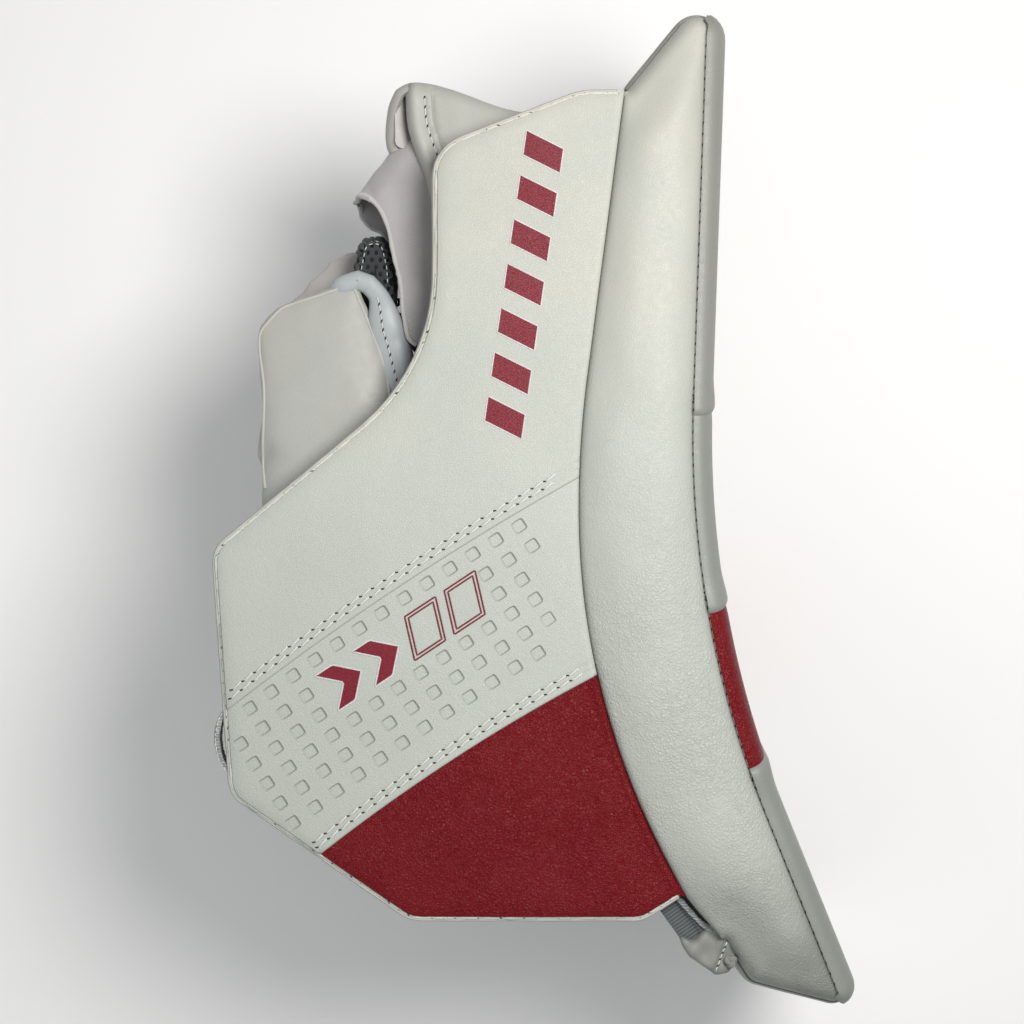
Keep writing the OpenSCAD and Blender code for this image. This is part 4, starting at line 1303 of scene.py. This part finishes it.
def softened(name, node, paint, voxel=2.0, slim=0.0, rounds=4, warp=None):
    """A copy of a CAD node with soft edges, made a little slimmer; warp moves its points, in millimetres."""
    made = copied(name, node, paint)
    remesh = made.modifiers.new("remesh", "REMESH")
    remesh.mode, remesh.voxel_size = "VOXEL", voxel * MM
    made.modifiers.new("smooth", "SMOOTH").iterations = rounds
    settle(made)
    if warp:
        place_points(made, warp(points_of(made.data) / MM) * MM)
    if slim:
        place_points(made, points_of(made.data) - points_of(made.data, "normal") * slim * MM)
    made.data.shade_smooth()
    return made


def cushion(node, paint, cap, voxel=3.5, slim=0.8, warp=None):
    """A padded piece that replaces a CAD node, swollen by no more than cap."""
    made = softened(node + "_leather", node, paint, voxel, slim, 3, warp)
    cloth = made.modifiers.new("cloth", "CLOTH")
    cloth.settings.use_pressure = True
    cloth.settings.uniform_pressure_force = PRESSURE
    cloth.settings.effector_weights.gravity = 0
    for step in range(1, SWELL_FRAMES + 1):
        bpy.context.scene.frame_set(step)
    graph = bpy.context.evaluated_depsgraph_get()
    start = points_of(made.data)
    moved = points_of(made.evaluated_get(graph).data) - start
    made.modifiers.clear()
    far = np.linalg.norm(moved, axis=1, keepdims=True)
    place_points(made, start + moved * np.minimum(1, cap * MM / np.maximum(far, 1e-9)))
    bpy.context.scene.frame_set(1)
    made.modifiers.new("finer", "SUBSURF").levels = 1
    settle(made)
    made.data.shade_smooth()
    put(made, BODY[node], node)
    return made


def dropped(piece, line, lift=0.0):
    """A flat line laid on a piece from above, with normals."""
    tree = BVHTree.FromObject(piece, bpy.context.evaluated_depsgraph_get())
    hits = [tree.ray_cast(Vector((x * MM, y * MM, 0.4)), Vector((0, 0, -1)))[:2] for x, y in line]
    hits = [(place, normal) for place, normal in hits if place is not None]
    path = np.array([place for place, normal in hits]) / MM
    up = np.array([normal for place, normal in hits])
    return path + up * lift, up


# ---- Thumb guard: two pads, a padded rim and side, and a spacer-mesh sleeve ---------------------------------

MESH_PITCH, MESH_HOLE = 3.3, 0.95


def mesh_sheet(name, outline, height):
    """Knitted spacer mesh with real round holes, from hexagonal cells."""
    low, high = outline.min(0), outline.max(0)
    turn = full_turn(12) + math.pi / 6
    ring = np.stack([np.cos(turn), np.sin(turn)], 1)
    reach = MESH_PITCH / math.sqrt(3) * np.where(np.arange(12) % 2, math.cos(math.pi / 6), 1)
    verts, faces = [], []
    for row, y in enumerate(np.arange(low[1], high[1], MESH_PITCH * 0.866)):
        for x in np.arange(low[0] + (row % 2) * MESH_PITCH / 2, high[0], MESH_PITCH):
            centre = np.array([[x, y]])
            if not inside(centre, outline)[0] or distance(centre, outline, True)[0] < 1.2:
                continue
            first = len(verts)
            verts += list(centre + ring * reach[:, None]) + list(centre + ring * MESH_HOLE * np.array([0.85, 1.1]))
            faces += [(first + k, first + (k + 1) % 12, first + 12 + (k + 1) % 12, first + 12 + k) for k in range(12)]
    flat = np.array(verts)
    made = mesh(name, lifted(flat, height(flat)), faces, "mesh")
    made.modifiers.new("weld", "WELD").merge_threshold = 0.05 * MM
    made.modifiers.new("solid", "SOLIDIFY").thickness = 1.0 * MM
    settle(made)
    made.data.shade_smooth()
    return put(made, "thumb_guard")


def thumb_guard():
    def stretch(p, left, up):
        moved = np.stack([-left * ease((-76 - p[:, 0]) / 22), up * ease((p[:, 1] - 25) / 40), 0 * p[:, 0]], 1)
        return p + moved[:, :p.shape[1]]

    def outer_shape(p):
        return stretch(p, 4.5 + 3 * ease((45 - p[:, 1]) / 30), 6.5)

    def longer(p):
        return p + np.outer(ease((p[:, 1] - 65) / 35), [0, 4.6, 0][:p.shape[1]])

    outer = cushion("thumb_outer_pad", "soft", 4, slim=0.6, warp=outer_shape)
    cushion("thumb_inner_pad", "lining", 2.5, 3, 0.3, lambda p: stretch(p, 7 * ease((p[:, 1] - 55) / 22), 10))
    cushion("thumb_side_pad", "soft", 3, 3)
    # The rim is a fat roll beside the outer pad
    line = smoothed([(-36.5, -4), (-39.5, 20), (-43, 45), (-47.5, 64.5), (-51, 75.5), (-55.6, 85), (-61, 91.3),
                     (-67, 93.4), (-75, 90.5), (-82, 86.5)], 1.5)
    taper = 1 - 0.5 * ease((travel(line) - travel(line)[-1] + 47) / 20)
    inward = normal_of(line) * taper[:, None]
    ends = ease(np.minimum(travel(line), travel(line)[::-1]) / 9)
    rim = lifted(line + 6.4 * inward, 170.2 - 2.5 * (1 - ends) + 3.2 * ease((line[:, 1] - 66) / 16))
    roll = tube("thumb_edge_roll_leather", rim, ring_section(15.5, 11.0, 24, 0.8), "rim", "thumb_guard",
                "thumb_edge_roll", scale=taper * (0.35 + 0.65 * ends) + 0.01 * ripple(rim, 16, 3))
    edge = outer_shape(smoothed(caps("thumb_outer_pad")[0], 1.2, closed=True))
    edge = np.roll(edge, -int((edge[:, 1] - 3 * edge[:, 0]).argmin()), axis=0)
    trim = beside(edge[edge[:, 1] > 8], 2.9)
    trim[:, 0] += 1.9 * ease((66 - trim[:, 1]) / 18) * (trim[:, 0] < -85)
    path, _ = dropped(outer, trim, -0.1)
    tube("thumb_pad_bead", path, circle(0.7, 10), "binding", "thumb_guard")
    path, up = dropped(roll, (line + 7.4 * inward)[8:-20], 0.1)
    stitches("thumb_roll_stitches", path, up, "thumb_guard", pitch=3.4, length=2.6, thick=0.26)
    # The sleeve: dark backing, a mesh sheet on each side, and a ragged, stitched edge
    put(softened("thumb_sleeve_backing", "thumb_sleeve", "backing", 2.2, 0.9, warp=longer), "thumb_guard",
        "thumb_sleeve")
    outline = longer(smoothed(caps("thumb_sleeve")[0], 1.5, closed=True))
    top = z_range("thumb_sleeve")[1]
    mesh_sheet("thumb_sleeve_mesh", outline, lambda p: top + 0.8 - drop(distance(p, outline, True), 4, 3))
    mesh_sheet("thumb_sleeve_mesh_far", outline, lambda p: top - 23.6 + drop(distance(p, outline, True), 4, 3))
    ragged = outline[outline[:, 1] > 88]
    ragged = np.roll(ragged, -int(np.linalg.norm(np.diff(ragged, axis=0, append=ragged[:1]), axis=1).argmax()) - 1, 0)
    ragged = even(beside(ragged, 0.6), 0.7)
    path = lifted(ragged, top - 3.5 + 0.7 * ripple(ragged, 3, 4))
    path[:, :2] += 0.35 * np.stack([ripple(ragged, 2.2, 5), ripple(ragged, 1.9, 6)], 1)
    tube("thumb_sleeve_edge", path, circle(1.1, 10), "mesh", "thumb_guard", scale=1 + 0.25 * ripple(path, 2.5, 7))
    stitches("thumb_sleeve_stitches", lifted(beside(ragged, 2.4), top + 1.0), UP, "thumb_guard", pitch=2.6,
             length=1.5, thick=0.2, holes=False)


# ---- Index guard: a leather hood over a jersey sleeve -------------------------------------------------------

VISOR = [(30, 149), (-7, 154.4), (-25, 160.3), (-32, 162.6), (-40, 164.6), (-46, 164.9), (-50, 163), (-52.3, 158),
         (-53.4, 151), (-53.4, 145), (-52.2, 141.5)]
HEM = np.array([(-48.3, 163.5), (-47.3, 150), (-44, 139), (-39.8, 128), (-36, 108)])
HOOD_LOW, HOOD_HIGH = z_range("index_guard")
HEM_ROW, HEM_SEAM = 7.6, 10.6           # stitches and seam, from the rolled hem's edge

# Where the jersey turns over at its outer side, and its lips on the near and far sides, from root to mouth
CLOTH_OUT = [(44, 138), (10, 140.5), (-20, 144), (-38, 149.5), (-46.5, 148), (-53, 142.6), (-58, 137), (-62.5, 131.5),
             (-65.8, 127.2), (-68, 122.6)]
CLOTH_NEAR = [(44, 72), (5, 64), (-30, 62), (-45.7, 65), (-49, 75), (-50.2, 90), (-53, 102), (-56.5, 113.5),
              (-60, 119.6), (-64.4, 123.4)]
CLOTH_FAR = [(44, 72), (5, 64), (-30, 62), (-44.5, 64), (-47.5, 75), (-50, 91), (-54.5, 103.5), (-58.5, 112),
             (-63.6, 114.6), (-67.4, 118.4)]


def spline(nodes, per=9):
    """The same number of points between each two nodes, on one smooth curve."""
    p = np.asarray(nodes, float)
    p = np.vstack([2 * p[0] - p[1], p, 2 * p[-1] - p[-2]])
    t = (np.arange(per) / per)[:, None]
    made = [0.5 * (2 * b + (c - a) * t + (2 * a - 5 * b + 4 * c - d) * t**2 + (3 * b - a - 3 * c + d) * t**3)
            for a, b, c, d in zip(p, p[1:], p[2:], p[3:])]
    return np.vstack([*made, p[-2:-1]])


def hood():
    line = smoothed(VISOR, 1.2)
    run = travel(line)
    past_hem = ease((run - run[-1] + 24) / 20)[:, None]
    wall("index_guard_visor", line, HOOD_LOW + 4 * past_hem, HOOD_HIGH - 5.6 - 6 * past_hem, 0.5, "soft",
         "index_guard", tuck=1.6, thick=2.6)
    cover = line - 2.2 * normal_of(line)
    top = cover[cover[:, 0] > -48.6]
    side = smoothed(HEM, 1.6, sharp=60)
    outline = np.vstack([[(26, 106), (29, 127)], top[:-1], side])

    def near(p):
        hem, visor = distance(p, side), distance(p, cover)
        rolled = 1.3 * np.exp(-((hem - 3.4) / 2.2) ** 2) - 0.45 * np.exp(-((hem - HEM_ROW) / 0.7) ** 2)
        rolled = rolled - 0.6 * np.exp(-((hem - HEM_SEAM) / 0.5) ** 2)
        seam = 0.7 * ease((hem - HEM_SEAM + 0.5) / 0.7) * (1 - ease((hem - HEM_SEAM - 1) / 9))
        return (HOOD_HIGH - 0.2 - drop(hem, 3.4, 4.4) - drop(visor, 6, 4.6) + rolled - seam
                + 0.35 * ripple(p, 26, 12) * ease(visor / 12))

    rows = [beside(even(side, 1.5), far)[2:-2] for far in (HEM_ROW, HEM_SEAM)]
    put(plate("index_guard_near", outline, near, HOOD_HIGH - 7.0, "soft", step=2.0,
              lines=[(row, 0.6) for row in rows]), "board")
    path, up = laid(rows[0], near, 0.12)
    stitches("index_guard_stitches", path, up, "board", pitch=3.8, length=3.0, thick=0.3)
    # The lining seen inside the hood's mouth
    inner = smoothed(rounded([(-52.4, 142.6, 3), (-36, 140, 1), (-36, 163, 1), (-46, 164.4, 4),
                              (-52.4, 158.5, 4)]), 1.5, True)
    put(plate("index_guard_lining", inner, lambda p: HOOD_HIGH - 6.2 - 6 * ease((p[:, 0] + 52.5) / 9)
              + 0.5 * ripple(p, 12, 31), 145, "lining", step=1.6), "board")
    far_outline = smoothed(caps("index_guard", top=False)[0], 1.6, closed=True)
    put(plate("index_guard_far", far_outline, lambda p: HOOD_LOW + drop(distance(p, line), 6, 4.5)
              + 0.3 * ripple(p, 24, 13), HOOD_LOW + 5, "soft", step=2.4, down=True), "board")


def jersey():
    out, near, far = spline(CLOTH_OUT), spline(CLOTH_NEAR), spline(CLOTH_FAR)
    high, low, rise = 175.0, 146.2, 11.5

    def half(lip, v, level, way):
        reach = np.linalg.norm(out - lip, axis=1)[:, None]
        flat = lip[:, None] + (out - lip)[:, None] * v[None, :, None]
        far_out = reach * (1 - v)
        z = level + way * drop(far_out, np.minimum(13, 0.9 * reach), rise)
        return np.dstack([flat, np.broadcast_to(z, flat.shape[:2])])

    first = half(near, 1 - (1 - np.linspace(0, 1, 26)) ** 1.5, high, -1)
    second = half(far, (1 - np.linspace(0, 1, 22) ** 1.5), low, 1)
    middle = first[:, -1:] * 0.5 + second[:, :1] * 0.5 + np.concatenate([unit(out - near) * 0.8,
                                                                       np.zeros((len(out), 1))], 1)[:, None]
    rows = np.concatenate([first, middle, second], 1)
    soft = np.stack([ripple(rows, 19, 21), ripple(rows, 23, 22), ripple(rows, 15, 23)], -1)
    folds = ripple(rows * [0.35, 1.2, 0.2], 13, 24)[..., None] * normals_of(rows)
    rows = rows + 0.45 * soft + 0.4 * folds * ease((44 - rows[..., :1]) / 30)
    piece = shell("index_sleeve_jersey", rows, 1.3, "jersey")
    put(piece, "board", "index_sleeve")
    for name, lip in (("near", rows[26:, 0]), ("far", rows[26:, -1]), ("mouth", rows[-1, ::2])):
        put(sweep(f"jersey_lip_{name}", lip + [0, 0, -0.3], circle(0.95, 10), "jersey_edge",
                              scale=1 + 0.12 * ripple(lip, 6, 2)), "board")


thumb_guard()
hood()
jersey()


# ---- Glove, fingers, cuff, strap and lacing -----------------------------------------------------------------

CUFF_LEAN, CUFF_AT = 14, (12, -42)      # how the cuff leans, in degrees, and its middle


def glove():
    cushion("hand_pad", "nylon_soft", 4, 4, 1.2)
    cushion("cuff_wrap", "soft", 4, 4, 1.2)
    for node, voxel, paint in (("hand_liner", 1.4, "nylon_soft"), ("palm", 1.5, "suede"),
                               ("little_gusset", 1.5, "suede"), ("index_gusset", 1.5, "suede"),
                               ("thumb_gusset", 1.4, "soft")):
        put(softened(node + "_sewn", node, paint, voxel, 0.1, 3), BODY[node], node)
    for finger in ("little", "ring", "middle", "index"):
        stall = finger + "_stall"
        put(softened(stall + "_suede", stall, "suede", 1.6, 0.1, 5), BODY[stall], stall)
        cushion(finger + "_pads", "soft", 2.2, 2.4, 0.5)
        seam_stitches(stall)


def seam_stitches(node):
    """A sewn seam along the middle of a finger stall's outer side."""
    low, high = (np.array(v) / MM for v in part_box(node))
    z = (low[2] + high[2]) / 2
    outer = caps(node)[0]
    back = outer[(outer[:, 0] > -8) & (outer[:, 1] > 55)]
    back = back[np.argsort(back[:, 1])]
    if len(back) < 2:
        return
    for name, side in (("low", -9.2), ("high", 9.2)):
        path = lifted(even(back, 2) + [0.25, 0], z + side)
        stitches(f"{node}_stitches_{name}", path, (1, 0, 0), BODY[node], holes=False)


def strap():
    for node, paint in (("strap_base", "webbing"), ("strap_tab", "webbing"), ("hook_patch", "hook"),
                        ("loop_patch", "hook"), ("strap_pull", "red"), ("eyelet_strip", "soft")):
        made = copied(node + "_sewn", node, paint)
        made.modifiers.new("weld", "WELD").merge_threshold = 0.01 * MM
        bevel = made.modifiers.new("bevel", "BEVEL")
        bevel.width, bevel.segments, bevel.limit_method = 0.35 * MM, 3, "ANGLE"
        settle(made)
        made.data.shade_smooth()
        made.data.set_sharp_from_angle(angle=SHARP)
        put(made, BODY[node], node)
    put(softened("palm_lace_cord", "palm_lace", "cord", 0.9, 0.0, 4), "board", "palm_lace")
    repaint(frame["nodes"]["eyelets"].data, "metal")
    # Box stitching on the strap and its pull, in the cuff's leaning frame
    lean = math.radians(CUFF_LEAN)
    turn = np.array([[math.cos(lean), math.sin(lean), 0], [-math.sin(lean), math.cos(lean), 0], [0, 0, 1]])
    outward = np.array([-1.0, 0, 0]) @ turn
    for name, x, y0, y1, z0, z1 in (("strap_tab", -76.4, -58, -30, 84, 138),
                                    ("strap_pull", -78.85, -54, -34, 60, 74)):
        corners = [(x, y0, z0), (x, y1, z0), (x, y1, z1), (x, y0, z1), (x, y0, z0)]
        path = even(np.array(corners) @ turn + [*CUFF_AT, 0], 1.5)
        stitches(name + "_stitches", path, outward, "strap")


glove()
strap()


# ---- Hidden foam and sheet inside the board keep their CAD shape -------------------------------------------

for node, paint in (("front_foam", "foam"), ("core_sheet", "sheet"), ("back_foam", "foam")):
    repaint(frame["nodes"][node].data, paint)
